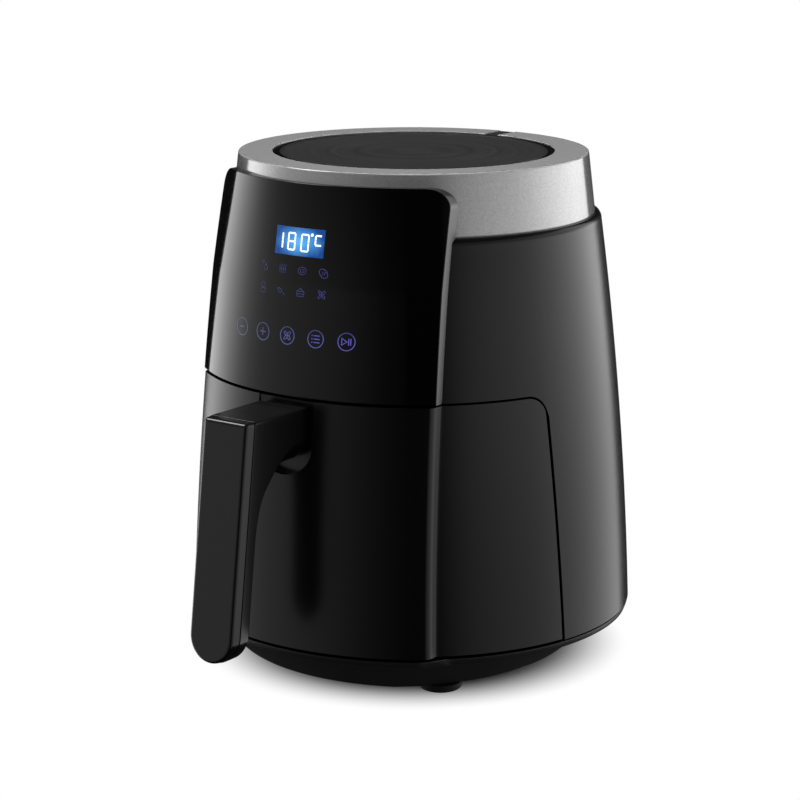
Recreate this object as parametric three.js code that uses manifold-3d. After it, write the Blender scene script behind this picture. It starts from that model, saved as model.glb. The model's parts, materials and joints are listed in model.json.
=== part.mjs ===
// Air fryer with a pull-out frying drawer, a touch panel and a top-mounted heater and fan.
// Units are millimetres, +Z is up, and the front, with the panel and the handle, faces -Y.
// The body is round about a vertical axis. Everything is modelled about that axis, and the whole group
// is moved at the end, so that the origin is the middle of the footprint on the surface it stands on.

import * as THREE from "three";
import { mergeVertices } from "three/addons/utils/BufferGeometryUtils.js";
import Module from "manifold-3d";

const wasm = await Module();
wasm.setup();

// ---------------------------------------------------------------- driving dimensions

const CLEAR = 0.4; // gap between two pieces that touch
const AROUND = 36; // sides of a large round piece
const SMALL_AROUND = 16; // sides of a small round piece

// Heights above the surface that the fryer stands on.
const FOOT_HEIGHT = 5;
const SHELL_BOTTOM = 31.5;
const DRAWER_BOTTOM = 32.3;
const DRAWER_TOP = 176.4;
const PANEL_BOTTOM = 178;
const RING_BOTTOM = 269.5;
const PANEL_TOP = 297;
const TOTAL_HEIGHT = 304.2;

// Round body: its radius shrinks with height along a parabola.
const BODY_RADIUS = 132.6;
const BODY_LEAN = 0.0383;
const BODY_FLARE = 0.000212;
const SHELL_WALL = 2.8;
const SHOULDER = 4.5; // rounding of the shell's top edge

// Front plate: the panel and the drawer front stand proud of the round body.
const PLATE_PROUD = 3.6;
const PLATE_SETBACK = 8; // its arc is centred this far behind the body's axis
const PLATE_TUCK = 2.2; // how much less proud it is at the top of the panel
const PLATE_TUCK_START = 240;
const PLATE_HALF_WIDTH = 79.3;
const PLATE_SPREAD = 0.02; // extra half width per millimetre below PLATE_WIDTH_LEVEL
const PLATE_WIDTH_LEVEL = 290;
const PANEL_CORNER = 12;

// Top ring and disc.
const RING_RADIUS_LOW = 108.1;
const RING_RADIUS_HIGH = 104;
const RING_BORE = 83.8;
const RING_WALL = 2.6;
const DISC_RADIUS = 79.6;
const NOTCH_WIDTH = 10;
const NOTCH_DEPTH = 3.2;

// Mains lead: where it leaves the back wall.
const CORD_HEIGHT = 52;
const CORD_ANGLE = -0.34; // turn from straight back, towards the right-hand side

// Drawer: its side wings end on a plane that crosses the body just in front of the axis.
const WING_EDGE = 35; // distance of the wings' rear edge in front of the axis
const WING_CORNER = 11;
const DRAWER_WALL = 3;
const DRAWER_GAP = 1.2;

// Pan, liner and crisper plate.
const PAN_RADIUS = 97;
const PAN_FLOOR_RADIUS = 91;
const PAN_BOTTOM = 43;
const PAN_TOP = 166;
const PAN_WALL = 1.2;
const LINER_RADIUS = 105;
const LINER_WALL = 1.2;
const LINER_BOTTOM = 38;
const LINER_TOP = 178.4;
const CRISPER_RADIUS = 86;
const CRISPER_HEIGHT = 60;
const CRISPER_THICK = 1.8;

// Handle, in side view: distances are measured forwards from the body's axis.
const HANDLE_WIDTH = 32;
const HANDLE_TOP = 174;
const HANDLE_BOTTOM = 37.5;
const HANDLE_FACE_TOP = 179.5; // distance of the front face at the top
const HANDLE_TILT = 0.133; // how far the front face leans out, per millimetre of drop
const HANDLE_COVER = 3.4;
const GRIP_DEPTH = 15;
const POCKET_HALF_WIDTH = 19.5;
const POCKET_CENTRE = 148;
const POCKET_DEPTH = 4.5;
const ROOT_HALF_WIDTH = 14.5;

// Display window in the panel.
const WINDOW = { left: -14.8, right: 19.4, low: 256.6, high: 272.8 };

// Heater, fans and motor, stacked on the body's axis.
const GUARD_HEIGHT = 181;
const ELEMENT_HEIGHT = 191;
const ELEMENT_TUBE = 3.2;
const SHIELD_RADIUS = 95;
const SHIELD_TOP = 228;
const FAN_RADIUS = 60;
const FAN_LOW = 202;
const COOLING_FAN_RADIUS = 42;
const COOLING_FAN_LOW = 233;
const MOTOR_RADIUS = 24;
const MOTOR_LOW = 243;
const MOTOR_HIGH = 262;
const SHAFT_RADIUS = 3;

// ---------------------------------------------------------------- colours

const finish = (color, roughness, metalness = 0) =>
  new THREE.MeshStandardMaterial({ color, roughness, metalness });
const SATIN_BLACK = finish(0x1b1b1c, 0.42);
const GLOSS_BLACK = finish(0x050506, 0.08);
const BASE_BLACK = finish(0x131314, 0.55);
const SILVER_PAINT = finish(0x8f9092, 0.35, 0.7);
const DARK_METAL = finish(0x2c2c2e, 0.32, 0.8);
const NONSTICK = finish(0x202124, 0.45, 0.3);
const STEEL = finish(0xb4b6b8, 0.3, 1);
const GALVANISED = finish(0x9a9c9e, 0.45, 1);
const RUBBER = finish(0x0d0d0d, 0.85);
const BOARD_GREEN = finish(0x1f5a35, 0.6);
const LENS = finish(0x10202e, 0.05);

// ---------------------------------------------------------------- solids

// A closed geometry as a manifold-3d solid with its faces pointing out.
function solidOf(geometry) {
  const bare = new THREE.BufferGeometry();
  const source = geometry.index ? geometry.toNonIndexed() : geometry;
  bare.setAttribute("position", source.getAttribute("position").clone());
  const merged = mergeVertices(bare, 1e-3);
  const index = merged.index.array;
  const triangles = [];
  for (let i = 0; i < index.length; i += 3) {
    const [a, b, c] = [index[i], index[i + 1], index[i + 2]];
    if (a !== b && b !== c && c !== a) triangles.push(a, b, c);
  }
  const made = (triVerts) =>
    new wasm.Manifold(
      new wasm.Mesh({
        numProp: 3,
        vertProperties: merged.attributes.position.array,
        triVerts,
      }),
    );
  const solid = made(new Uint32Array(triangles));
  return solid.volume() > 0 ? solid : made(new Uint32Array(triangles.reverse()));
}

function geometryOf(solid) {
  const mesh = solid.getMesh();
  const positions = new Float32Array(mesh.numVert * 3);
  for (let i = 0; i < mesh.numVert; i++) {
    const start = i * mesh.numProp;
    positions.set(mesh.vertProperties.subarray(start, start + 3), i * 3);
  }
  const geometry = new THREE.BufferGeometry();
  geometry.setAttribute("position", new THREE.BufferAttribute(positions, 3));
  geometry.setIndex(new THREE.BufferAttribute(mesh.triVerts, 1));
  geometry.computeVertexNormals();
  return geometry;
}

const cut = (body, ...tools) =>
  geometryOf(tools.reduce((solid, tool) => solid.subtract(solidOf(tool)), solidOf(body)));
const join = (...pieces) =>
  geometryOf(pieces.map(solidOf).reduce((solid, piece) => solid.add(piece)));
const common = (...pieces) =>
  geometryOf(pieces.map(solidOf).reduce((solid, piece) => solid.intersect(piece)));

// A box from its lowest to its highest corner.
function block([x0, y0, z0], [x1, y1, z1]) {
  const box = new THREE.BoxGeometry(x1 - x0, y1 - y0, z1 - z0);
  return box.translate((x0 + x1) / 2, (y0 + y1) / 2, (z0 + z1) / 2);
}

// A piece turned about the vertical axis from [radius, height] points.
function turned(profile, segments = AROUND) {
  const points = profile.map(([radius, height]) => new THREE.Vector2(radius, height));
  return new THREE.LatheGeometry(points, segments).rotateX(Math.PI / 2);
}

function cylinder(radius, low, high, segments = SMALL_AROUND) {
  return turned([[0, low], [radius, low], [radius, high], [0, high]], segments);
}

// A tube wall about the vertical axis.
function pipe(outer, inner, low, high, segments = AROUND) {
  return turned([[outer, low], [outer, high], [inner, high], [inner, low], [outer, low]], segments);
}

// A solid through equal rings of points, given from the lowest to the highest.
function loft(rings) {
  const count = rings[0].length;
  const middle = (ring) =>
    ring.reduce((sum, p) => sum.map((v, k) => v + p[k] / ring.length), [0, 0, 0]);
  const points = [...rings.flat(), middle(rings[0]), middle(rings.at(-1))];
  const bottom = rings.length * count;
  const top = bottom + 1;
  const faces = [];
  for (let i = 0; i < count; i++) {
    const next = (i + 1) % count;
    faces.push(bottom, next, i);
    faces.push(top, bottom - count + i, bottom - count + next);
    for (let level = 0; level + 1 < rings.length; level++) {
      const here = level * count;
      faces.push(here + i, here + next, here + count + i);
      faces.push(here + next, here + count + next, here + count + i);
    }
  }
  const geometry = new THREE.BufferGeometry();
  geometry.setAttribute("position", new THREE.Float32BufferAttribute(points.flat(), 3));
  geometry.setIndex(faces);
  return geometry;
}

// An outline in the XZ plane, pushed from one Y to another.
function pushedAlongY(shape, yStart, yEnd, curveSegments = 8) {
  const settings = { depth: yEnd - yStart, bevelEnabled: false, curveSegments };
  const geometry = new THREE.ExtrudeGeometry(shape, settings).rotateX(Math.PI / 2);
  return geometry.translate(0, yEnd, 0);
}

// An outline drawn as (distance in front of the axis, height), pushed across the width.
function pushedAcross(shape, xStart, xEnd, curveSegments = 8) {
  const settings = { depth: xEnd - xStart, bevelEnabled: false, curveSegments };
  const geometry = new THREE.ExtrudeGeometry(shape, settings);
  const turn = new THREE.Matrix4().set(0, 0, 1, xStart, -1, 0, 0, 0, 0, 1, 0, 0, 0, 0, 0, 1);
  return geometry.applyMatrix4(turn);
}

// A tab with straight sides and a round bottom, in the XZ plane.
function roundBottomed(halfWidth, centreHeight, top) {
  const shape = new THREE.Shape();
  shape.moveTo(-halfWidth, top);
  shape.lineTo(-halfWidth, centreHeight);
  shape.absarc(0, centreHeight, halfWidth, Math.PI, 2 * Math.PI, false);
  shape.lineTo(halfWidth, top);
  shape.closePath();
  return shape;
}

const heights = (low, high, steps) =>
  Array.from({ length: steps + 1 }, (_, i) => low + ((high - low) * i) / steps);

// ---------------------------------------------------------------- the body's outer form

function bodyRadius(height) {
  const rise = height - SHELL_BOTTOM;
  return BODY_RADIUS - BODY_LEAN * rise - BODY_FLARE * rise * rise;
}

function ringRadius(height) {
  const share = (height - RING_BOTTOM) / (TOTAL_HEIGHT - RING_BOTTOM);
  return RING_RADIUS_LOW + (RING_RADIUS_HIGH - RING_RADIUS_LOW) * share;
}

// Distance of the front plate's middle in front of the axis.
function plateDistance(height) {
  const tuck = Math.max(0, (height - PLATE_TUCK_START) / (PANEL_TOP - PLATE_TUCK_START));
  return bodyRadius(height) + PLATE_PROUD - PLATE_TUCK * tuck;
}

const plateHalfWidth = (height) =>
  PLATE_HALF_WIDTH + PLATE_SPREAD * (PLATE_WIDTH_LEVEL - height);

const circleAt = (radius, height, segments = AROUND) =>
  Array.from({ length: segments }, (_, i) => {
    const angle = (2 * Math.PI * i) / segments;
    return [radius * Math.cos(angle), radius * Math.sin(angle), height];
  });

// The round body between two heights, smaller all round by inset.
const roundBody = (low, high, inset = 0, steps = 4) =>
  loft(heights(low, high, steps).map((height) => circleAt(bodyRadius(height) - inset, height)));

// The front plate's outline at a height: an arc across the front, closed behind the axis plane.
function plateSection(height, inset) {
  const radius = plateDistance(height) + PLATE_SETBACK - inset;
  const halfWidth = plateHalfWidth(height) - inset;
  const halfAngle = Math.asin(halfWidth / radius);
  const steps = 10;
  const arc = heights(-halfAngle, halfAngle, steps).map((angle) => [
    radius * Math.sin(angle),
    PLATE_SETBACK - radius * Math.cos(angle),
    height,
  ]);
  return [...arc, [halfWidth, -WING_EDGE, height], [-halfWidth, -WING_EDGE, height]];
}

const frontPlate = (low, high, inset = 0, steps = 4) =>
  loft(heights(low, high, steps).map((height) => plateSection(height, inset)));

// Everything in front of the drawer's rear edge, in side view, with a round upper corner.
function drawerZone(edge, low, high, corner) {
  const far = 220;
  const shape = new THREE.Shape();
  shape.moveTo(far, low);
  shape.lineTo(far, high);
  shape.lineTo(edge + corner, high);
  shape.absarc(edge + corner, high - corner, corner, Math.PI / 2, Math.PI, false);
  shape.lineTo(edge, low);
  shape.closePath();
  return pushedAcross(shape, -160, 160, 6);
}

// ---------------------------------------------------------------- base and feet

const FOOT_PLACES = [45, 135, 225, 315].map((degrees) => {
  const angle = THREE.MathUtils.degToRad(degrees);
  return [94 * Math.cos(angle), 94 * Math.sin(angle)];
});

function base() {
  const top = SHELL_BOTTOM - 0.7;
  const dish = turned([
    [0, FOOT_HEIGHT - 0.6],
    [101, FOOT_HEIGHT - 0.6],
    [114, 9],
    [124, 17.5],
    [129.6, 26.5],
    [130.2, top],
    [126.8, top],
    [121, 18.5],
    [112, 12],
    [98, 8.4],
    [0, 8.4],
  ]);
  const tray = (inset, rise) =>
    loft(
      [[8, 18], [13, 11], [20, 5.5], [top, 2.4]].map(([height, tuck]) =>
        plateSection(height + rise, tuck + inset),
      ),
    );
  const frontTray = cut(tray(0, 0), tray(3, 3));
  const studs = FOOT_PLACES.map(([x, y]) => cylinder(5, 6, 20, 12).translate(x * 0.72, y * 0.72, 0));
  const holes = FOOT_PLACES.map(([x, y]) => cylinder(2.2, 0, 16, 12).translate(x * 0.72, y * 0.72, 0));
  const bowl = turned([[0, 8.4], [98, 8.4], [112, 12], [121, 18.5], [126.8, top + 9], [0, top + 9]]);
  return cut(join(dish, cut(frontTray, bowl), ...studs), ...holes);
}

const foot = () =>
  turned([[0, 0], [11.5, 0], [13, 1.2], [13, FOOT_HEIGHT - 1], [0, FOOT_HEIGHT - 1]], SMALL_AROUND);

const baseScrew = () =>
  turned([[0, 1.4], [3.6, 1.4], [4, 2.4], [4, 4], [1.8, 4], [1.8, 14], [0, 14]], 12);

// ---------------------------------------------------------------- shell, ring and top

function outerShell() {
  const top = RING_BOTTOM - 0.8;
  const rings = [
    ...heights(SHELL_BOTTOM, top - SHOULDER, 5).map((height) => [bodyRadius(height), height]),
    [bodyRadius(top) - 0.6, top - SHOULDER * 0.45],
    [bodyRadius(top) - 2.4, top],
  ];
  const outside = loft(rings.map(([radius, height]) => circleAt(radius, height)));
  const inside = roundBody(SHELL_BOTTOM - 5, top - 7, SHELL_WALL, 5);
  const neck = cylinder(RING_RADIUS_LOW + CLEAR, top - 9, top + 5, AROUND);
  const drawerOpening = drawerZone(WING_EDGE - DRAWER_GAP, 0, PANEL_BOTTOM - CLEAR, WING_CORNER);
  const electronicsWindow = block([-47, -130, 196], [47, -80, 290]);
  const exhaustWindow = block([-34, 80, 186], [34, 140, 232]);
  const cordHole = cylinder(7.6, 0, 60, SMALL_AROUND).rotateX(-Math.PI / 2);
  cordHole.translate(0, 100, CORD_HEIGHT).rotateZ(CORD_ANGLE);
  return cut(outside, inside, neck, drawerOpening, electronicsWindow, exhaustWindow, cordHole);
}

function topRing() {
  const edge = 0.8; // bevel of the sharp top edge
  const inside = RING_RADIUS_HIGH - RING_WALL;
  const lip = 3;
  const ring = turned([
    [RING_RADIUS_LOW - 0.4, RING_BOTTOM - 6],
    [RING_RADIUS_LOW, RING_BOTTOM],
    [RING_RADIUS_HIGH, TOTAL_HEIGHT - edge],
    [RING_RADIUS_HIGH - edge, TOTAL_HEIGHT],
    [RING_BORE, TOTAL_HEIGHT],
    [RING_BORE, TOTAL_HEIGHT - 10],
    [RING_BORE + RING_WALL, TOTAL_HEIGHT - 10],
    [RING_BORE + RING_WALL, TOTAL_HEIGHT - lip],
    [inside, TOTAL_HEIGHT - lip],
    [RING_RADIUS_LOW - RING_WALL, RING_BOTTOM],
    [RING_RADIUS_LOW - RING_WALL, RING_BOTTOM - 6],
    [RING_RADIUS_LOW - 0.4, RING_BOTTOM - 6],
  ]);
  const notch = block(
    [-NOTCH_WIDTH / 2, RING_BORE - 5, TOTAL_HEIGHT - NOTCH_DEPTH],
    [NOTCH_WIDTH / 2, RING_RADIUS_LOW + 5, TOTAL_HEIGHT + 5],
  );
  const electronicsWindow = block([-47, -130, RING_BOTTOM - 10], [47, -90, 290]);
  return cut(ring, notch, electronicsWindow);
}

// A ribbed strip that lies in the notch at the back of the ring.
function ventInsert() {
  const half = NOTCH_WIDTH / 2 - CLEAR;
  const top = TOTAL_HEIGHT - 0.9;
  const floor = TOTAL_HEIGHT - NOTCH_DEPTH + 0.4;
  const strip = block([-half, RING_BORE + 0.6, floor], [half, RING_RADIUS_HIGH - 1.2, top]);
  const grooves = heights(RING_BORE + 3, RING_RADIUS_HIGH - 5, 5).map((y) =>
    block([-half - 1, y, floor + 0.8], [half + 1, y + 1.6, top + 1]),
  );
  return cut(strip, ...grooves);
}

function topDisc() {
  const plate = turned([
    [0, TOTAL_HEIGHT - 4.6],
    [DISC_RADIUS - 1.2, TOTAL_HEIGHT - 4.6],
    [DISC_RADIUS, TOTAL_HEIGHT - 3.6],
    [DISC_RADIUS, TOTAL_HEIGHT - 1.2],
    [DISC_RADIUS - 1, TOTAL_HEIGHT - 0.4],
    [0, TOTAL_HEIGHT - 0.4],
  ]);
  const posts = [30, 150, 270].map((degrees) => {
    const angle = THREE.MathUtils.degToRad(degrees);
    return cylinder(4, 271.4, TOTAL_HEIGHT - 4, 12).translate(70 * Math.cos(angle), 70 * Math.sin(angle), 0);
  });
  return join(plate, ...posts);
}

// Inner plate under the disc: it carries the disc and the ring, and lets cooling air through.
function topFrame() {
  const plate = pipe(104.6, 46, 268.2, 271);
  const slots = heights(0, 330, 11).map((degrees) =>
    block([54, -5, 260], [66, 5, 280]).rotateZ(THREE.MathUtils.degToRad(degrees)),
  );
  return cut(plate, block([-48, -120, 260], [48, -84, 280]), ...slots);
}

function exhaustGrille() {
  const z = { low: 186.4, high: 231.6 };
  const half = 33.6;
  const skin = cut(roundBody(z.low, z.high, -0.8, 4), roundBody(z.low - 5, z.high + 5, 3, 4));
  const patch = common(skin, block([-half, 80, z.low], [half, 140, z.high]));
  const slots = heights(z.low + 5, z.high - 9, 5).map((height) =>
    block([-half + 5, 80, height], [half - 5, 140, height + 3.4]),
  );
  return cut(patch, ...slots);
}

// Strain relief bush in the back wall, where the mains lead comes out.
function cordGland() {
  const profile = [[4, -12], [4, 5], [7.2, 5], [9.6, 4.2], [9.6, 0.9], [7, 0.9], [7, -9], [5.5, -12], [4, -12]];
  const bush = turned(profile, SMALL_AROUND).rotateX(-Math.PI / 2);
  return bush.translate(0, bodyRadius(CORD_HEIGHT) + CLEAR, CORD_HEIGHT).rotateZ(CORD_ANGLE);
}

// ---------------------------------------------------------------- control panel and electronics

function panelOutline(inset) {
  const shape = new THREE.Shape();
  const wide = 120;
  const half = plateHalfWidth(PANEL_TOP) - inset;
  const top = PANEL_TOP - inset;
  shape.moveTo(-wide, PANEL_BOTTOM - 20);
  shape.lineTo(-wide, top - PANEL_CORNER);
  shape.lineTo(-half, top - PANEL_CORNER);
  shape.absarc(-half + PANEL_CORNER, top - PANEL_CORNER, PANEL_CORNER, Math.PI, Math.PI / 2, true);
  shape.absarc(half - PANEL_CORNER, top - PANEL_CORNER, PANEL_CORNER, Math.PI / 2, 0, true);
  shape.lineTo(wide, top - PANEL_CORNER);
  shape.lineTo(wide, PANEL_BOTTOM - 20);
  shape.closePath();
  return pushedAlongY(shape, -160, 0);
}

function controlPanel() {
  const slab = common(frontPlate(PANEL_BOTTOM, PANEL_TOP), panelOutline(0));
  const bodyRoom = roundBody(PANEL_BOTTOM - 10, RING_BOTTOM + 0.4, -CLEAR);
  const ringRoom = turned([
    [0, RING_BOTTOM],
    [ringRadius(RING_BOTTOM) + CLEAR, RING_BOTTOM],
    [ringRadius(TOTAL_HEIGHT) + CLEAR, TOTAL_HEIGHT],
    [0, TOTAL_HEIGHT],
  ]);
  const window = block([WINDOW.left, -130, WINDOW.low], [WINDOW.right, -80, WINDOW.high]);
  return cut(slab, bodyRoom, ringRoom, window);
}

function displayLens() {
  const gap = 0.3;
  const hole = block(
    [WINDOW.left + gap, -130, WINDOW.low + gap],
    [WINDOW.right - gap, -80, WINDOW.high - gap],
  );
  const low = WINDOW.low - 1;
  const high = WINDOW.high + 1;
  return common(cut(frontPlate(low, high, 0, 2), frontPlate(low - 1, high + 1, 2.2, 2)), hole);
}

const KEY_PLACES = [-37.2, -18.6, 0, 18.6, 37.2];

const displayModule = () =>
  block([WINDOW.left, -105.5, WINDOW.low - 1], [WINDOW.right, -99.8, WINDOW.high + 1]);

function controlBoard() {
  const board = block([-42, -99.5, 198], [42, -97.9, 267.8]);
  const keys = KEY_PLACES.map((x) => block([x - 4, -101.8, 208], [x + 4, -99, 216]));
  return join(board, ...keys);
}

// Holds the boards: a ledge that closes the panel's compartment from below.
function compartmentFloor() {
  const ledge = common(
    roundBody(PANEL_BOTTOM + 0.4, PANEL_BOTTOM + 3, SHELL_WALL + CLEAR, 1),
    block([-115, -125, 100], [115, -WING_EDGE + 2, 200]),
  );
  return cut(ledge, cylinder(LINER_RADIUS + 2, 150, 200, AROUND));
}

const powerBoard = () =>
  join(
    block([-42, 106.6, 70], [42, 108.2, 140]),
    block([-30, 108, 80], [-6, 116, 104]),
    cylinder(7, 0, 11, 12).rotateX(-Math.PI / 2).translate(18, 108, 96),
  );

// ---------------------------------------------------------------- cooking chamber

// Outline of the cavity from above: half round at the back, straight sides to the front.
function cavityShape(radius, front) {
  const shape = new THREE.Shape();
  shape.moveTo(radius, -front);
  shape.lineTo(radius, 0);
  shape.absarc(0, 0, radius, 0, Math.PI, false);
  shape.lineTo(-radius, -front);
  shape.closePath();
  return shape;
}

function cavity(radius, front, low, high) {
  const settings = { depth: high - low, bevelEnabled: false, curveSegments: 14 };
  return new THREE.ExtrudeGeometry(cavityShape(radius, front), settings).translate(0, 0, low);
}

function chamberLiner() {
  const front = WING_EDGE - 8;
  const outside = cavity(LINER_RADIUS, front, LINER_BOTTOM, LINER_TOP);
  const room = cavity(
    LINER_RADIUS - LINER_WALL,
    front + 10,
    LINER_BOTTOM + LINER_WALL,
    LINER_TOP - LINER_WALL,
  );
  const heaterMouth = cylinder(88, LINER_TOP - 10, LINER_TOP + 10, AROUND);
  return cut(outside, room, heaterMouth);
}

// Face frame between the liner and the shell, seen when the drawer is out.
function bulkhead() {
  const face = { near: -WING_EDGE + 4.6, far: -WING_EDGE + 2.2 };
  const slice = common(
    roundBody(SHELL_BOTTOM + 1, PANEL_BOTTOM - 1, SHELL_WALL + CLEAR),
    block([-140, face.far, 20], [140, face.near, 200]),
  );
  const mouth = block(
    [-LINER_RADIUS + 2.4, -60, LINER_BOTTOM + 2.4],
    [LINER_RADIUS - 2.4, 0, LINER_TOP - 12],
  );
  const [x, y, z] = SWITCH_PLACE;
  const plungerHole = cylinder(1.8, -20, 20, 12).rotateX(Math.PI / 2).translate(x, y, z);
  return cut(slice, mouth, plungerHole);
}

// Runner on one side of the liner: the pan's flange slides on it.
function panRail(side) {
  const bar = block([98.6, -26, PAN_TOP - 8], [120, 60, PAN_TOP - 4.4]);
  const room = cavity(LINER_RADIUS - LINER_WALL - 0.3, WING_EDGE, PAN_TOP - 20, PAN_TOP);
  return common(side > 0 ? bar : bar.rotateZ(Math.PI).translate(0, 34, 0), room);
}

// Leaf spring on the liner's floor: its hump holds the pan when the drawer is shut.
function panCatch() {
  const low = LINER_BOTTOM + LINER_WALL + CLEAR;
  const strip = new THREE.Shape();
  strip.moveTo(-12, low);
  strip.lineTo(20, low);
  strip.lineTo(20, low + 0.8);
  strip.lineTo(12, low + 0.8);
  strip.lineTo(8, low + 2.6);
  strip.lineTo(4, low + 0.8);
  strip.lineTo(-12, low + 0.8);
  strip.closePath();
  return pushedAcross(strip, -9, 9);
}

// ---------------------------------------------------------------- heater, fans and motor

function heaterShield() {
  const wall = 1;
  return turned([
    [SHIELD_RADIUS, LINER_TOP + CLEAR],
    [SHIELD_RADIUS, SHIELD_TOP - 8],
    [SHIELD_RADIUS - 8, SHIELD_TOP],
    [SHAFT_RADIUS + 1.5, SHIELD_TOP],
    [SHAFT_RADIUS + 1.5, SHIELD_TOP - wall],
    [SHIELD_RADIUS - 8.4, SHIELD_TOP - wall],
    [SHIELD_RADIUS - wall, SHIELD_TOP - 8.4],
    [SHIELD_RADIUS - wall, LINER_TOP + CLEAR],
    [SHIELD_RADIUS, LINER_TOP + CLEAR],
  ]);
}

// Tube heater: an open loop of two turns that swells outwards, with both ends turned up through the shield.
class ElementPath extends THREE.Curve {
  getPoint(share, target = new THREE.Vector3()) {
    const turns = 1.86;
    const angle = 2 * Math.PI * turns * share;
    const radius = 66 + 17 * share;
    return target.set(radius * Math.cos(angle), radius * Math.sin(angle), ELEMENT_HEIGHT);
  }
}

function heatingElement() {
  const section = new THREE.Shape().absarc(0, 0, ELEMENT_TUBE, 0, 2 * Math.PI, false);
  const tube = new THREE.ExtrudeGeometry(section, {
    steps: 36,
    curveSegments: 4,
    extrudePath: new ElementPath(),
  });
  const ends = [0, 1].map((share) => {
    const { x, y } = new ElementPath().getPoint(share);
    return cylinder(ELEMENT_TUBE + 0.4, ELEMENT_HEIGHT - 3.4, SHIELD_TOP - 3, 10).translate(x, y, 0);
  });
  return join(tube, ...ends);
}

// Pressed guard under the heater: three rings on three spokes.
function heaterGuard() {
  const low = GUARD_HEIGHT - 1;
  const rings = [[86.5, 82], [62, 59.5], [38, 35.5]].map(([outer, inner]) =>
    pipe(outer, inner, low, GUARD_HEIGHT + 0.6, 24),
  );
  const spokes = [0, 60, 120].map((degrees) =>
    block([-84, -1.4, low - 0.2], [84, 1.4, GUARD_HEIGHT + 0.4]).rotateZ(
      THREE.MathUtils.degToRad(degrees + 20),
    ),
  );
  return join(...rings, ...spokes);
}

// A hub with flat blades standing on a disc.
function bladedFan({ radius, low, disc, blades, bladeHeight, hub, lean }) {
  const plate = cylinder(radius * 0.96, low + bladeHeight, low + bladeHeight + disc, 32);
  const boss = cylinder(hub, low, low + bladeHeight + disc + 2, SMALL_AROUND);
  const wings = Array.from({ length: blades }, (_, i) =>
    block([hub - 1, -0.7, low], [radius * 0.86, 0.7, low + bladeHeight + 0.4])
      .translate(-radius * 0.4, 0, 0)
      .rotateZ(lean)
      .translate(radius * 0.4, 0, 0)
      .rotateZ((2 * Math.PI * i) / blades),
  );
  const bore = cylinder(SHAFT_RADIUS + 0.3, low - 5, low + bladeHeight + 10, SMALL_AROUND);
  return cut(join(plate, boss, ...wings), bore);
}

const convectionFan = () =>
  bladedFan({ radius: FAN_RADIUS, low: FAN_LOW, disc: 1.2, blades: 8, bladeHeight: 14, hub: 10, lean: 0.32 });

const coolingFan = () =>
  bladedFan({ radius: COOLING_FAN_RADIUS, low: COOLING_FAN_LOW, disc: 1, blades: 8, bladeHeight: 5, hub: 7, lean: 0.3 });

const motorShaft = () => cylinder(SHAFT_RADIUS, FAN_LOW - 6, MOTOR_LOW + 6, SMALL_AROUND);

const fanNut = () =>
  cut(cylinder(5.5, FAN_LOW - 4.6, FAN_LOW - 0.4, 6), cylinder(SHAFT_RADIUS + 0.3, 190, 205, SMALL_AROUND));

function fanMotor() {
  const can = turned(
    [[0, MOTOR_LOW], [MOTOR_RADIUS - 2, MOTOR_LOW], [MOTOR_RADIUS, MOTOR_LOW + 2],
      [MOTOR_RADIUS, MOTOR_HIGH - 2], [MOTOR_RADIUS - 2, MOTOR_HIGH], [0, MOTOR_HIGH]],
    24,
  );
  const core = block([-30, -15, MOTOR_LOW + 5], [30, 15, MOTOR_HIGH - 5]);
  const bore = cylinder(SHAFT_RADIUS + 0.4, MOTOR_LOW - 2, MOTOR_LOW + 8, SMALL_AROUND);
  return cut(join(can, core), bore);
}

// Bridge over the cooling fan that carries the motor.
function motorBracket() {
  const bar = block([-70, -11, MOTOR_HIGH + 0.4], [70, 11, MOTOR_HIGH + 2]);
  const legs = [-70, 67.4].map((x) =>
    block([x, -11, SHIELD_TOP + 0.5], [x + 2.6, 11, MOTOR_HIGH + 2]),
  );
  return join(bar, ...legs);
}

const temperatureSensor = () =>
  join(
    cylinder(2.2, 0, 24, 12).rotateX(Math.PI / 2).translate(0, 92.5, 202),
    cylinder(4.6, 0, 3, 12).rotateX(Math.PI / 2).translate(0, 93.6, 202),
  );

const thermalFuse = () =>
  join(
    cylinder(5, SHIELD_TOP + 0.4, SHIELD_TOP + 6, 12).translate(0, 60, 0),
    block([-9, 56, SHIELD_TOP + 0.4], [9, 64, SHIELD_TOP + 1.6]),
  );

// ---------------------------------------------------------------- door switch

const SWITCH_PLACE = [113.5, -WING_EDGE + 4, 150];

function microswitch() {
  const [x, y, z] = SWITCH_PLACE;
  const body = block([x - 3.2, y + 1, z - 10], [x + 3.2, y + 11, z + 10]);
  const bore = cylinder(1.8, 0, 8, 12).rotateX(Math.PI / 2).translate(x, y + 8, z);
  return cut(body, bore);
}

function switchPlunger() {
  const [x, y, z] = SWITCH_PLACE;
  return cylinder(1.4, 0, 7.2, 12).rotateX(Math.PI / 2).translate(x, y + 3.4, z);
}

// ---------------------------------------------------------------- drawer

function drawerForm(inset, low, high) {
  return join(roundBody(low, high, inset), frontPlate(low, high, inset));
}

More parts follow.
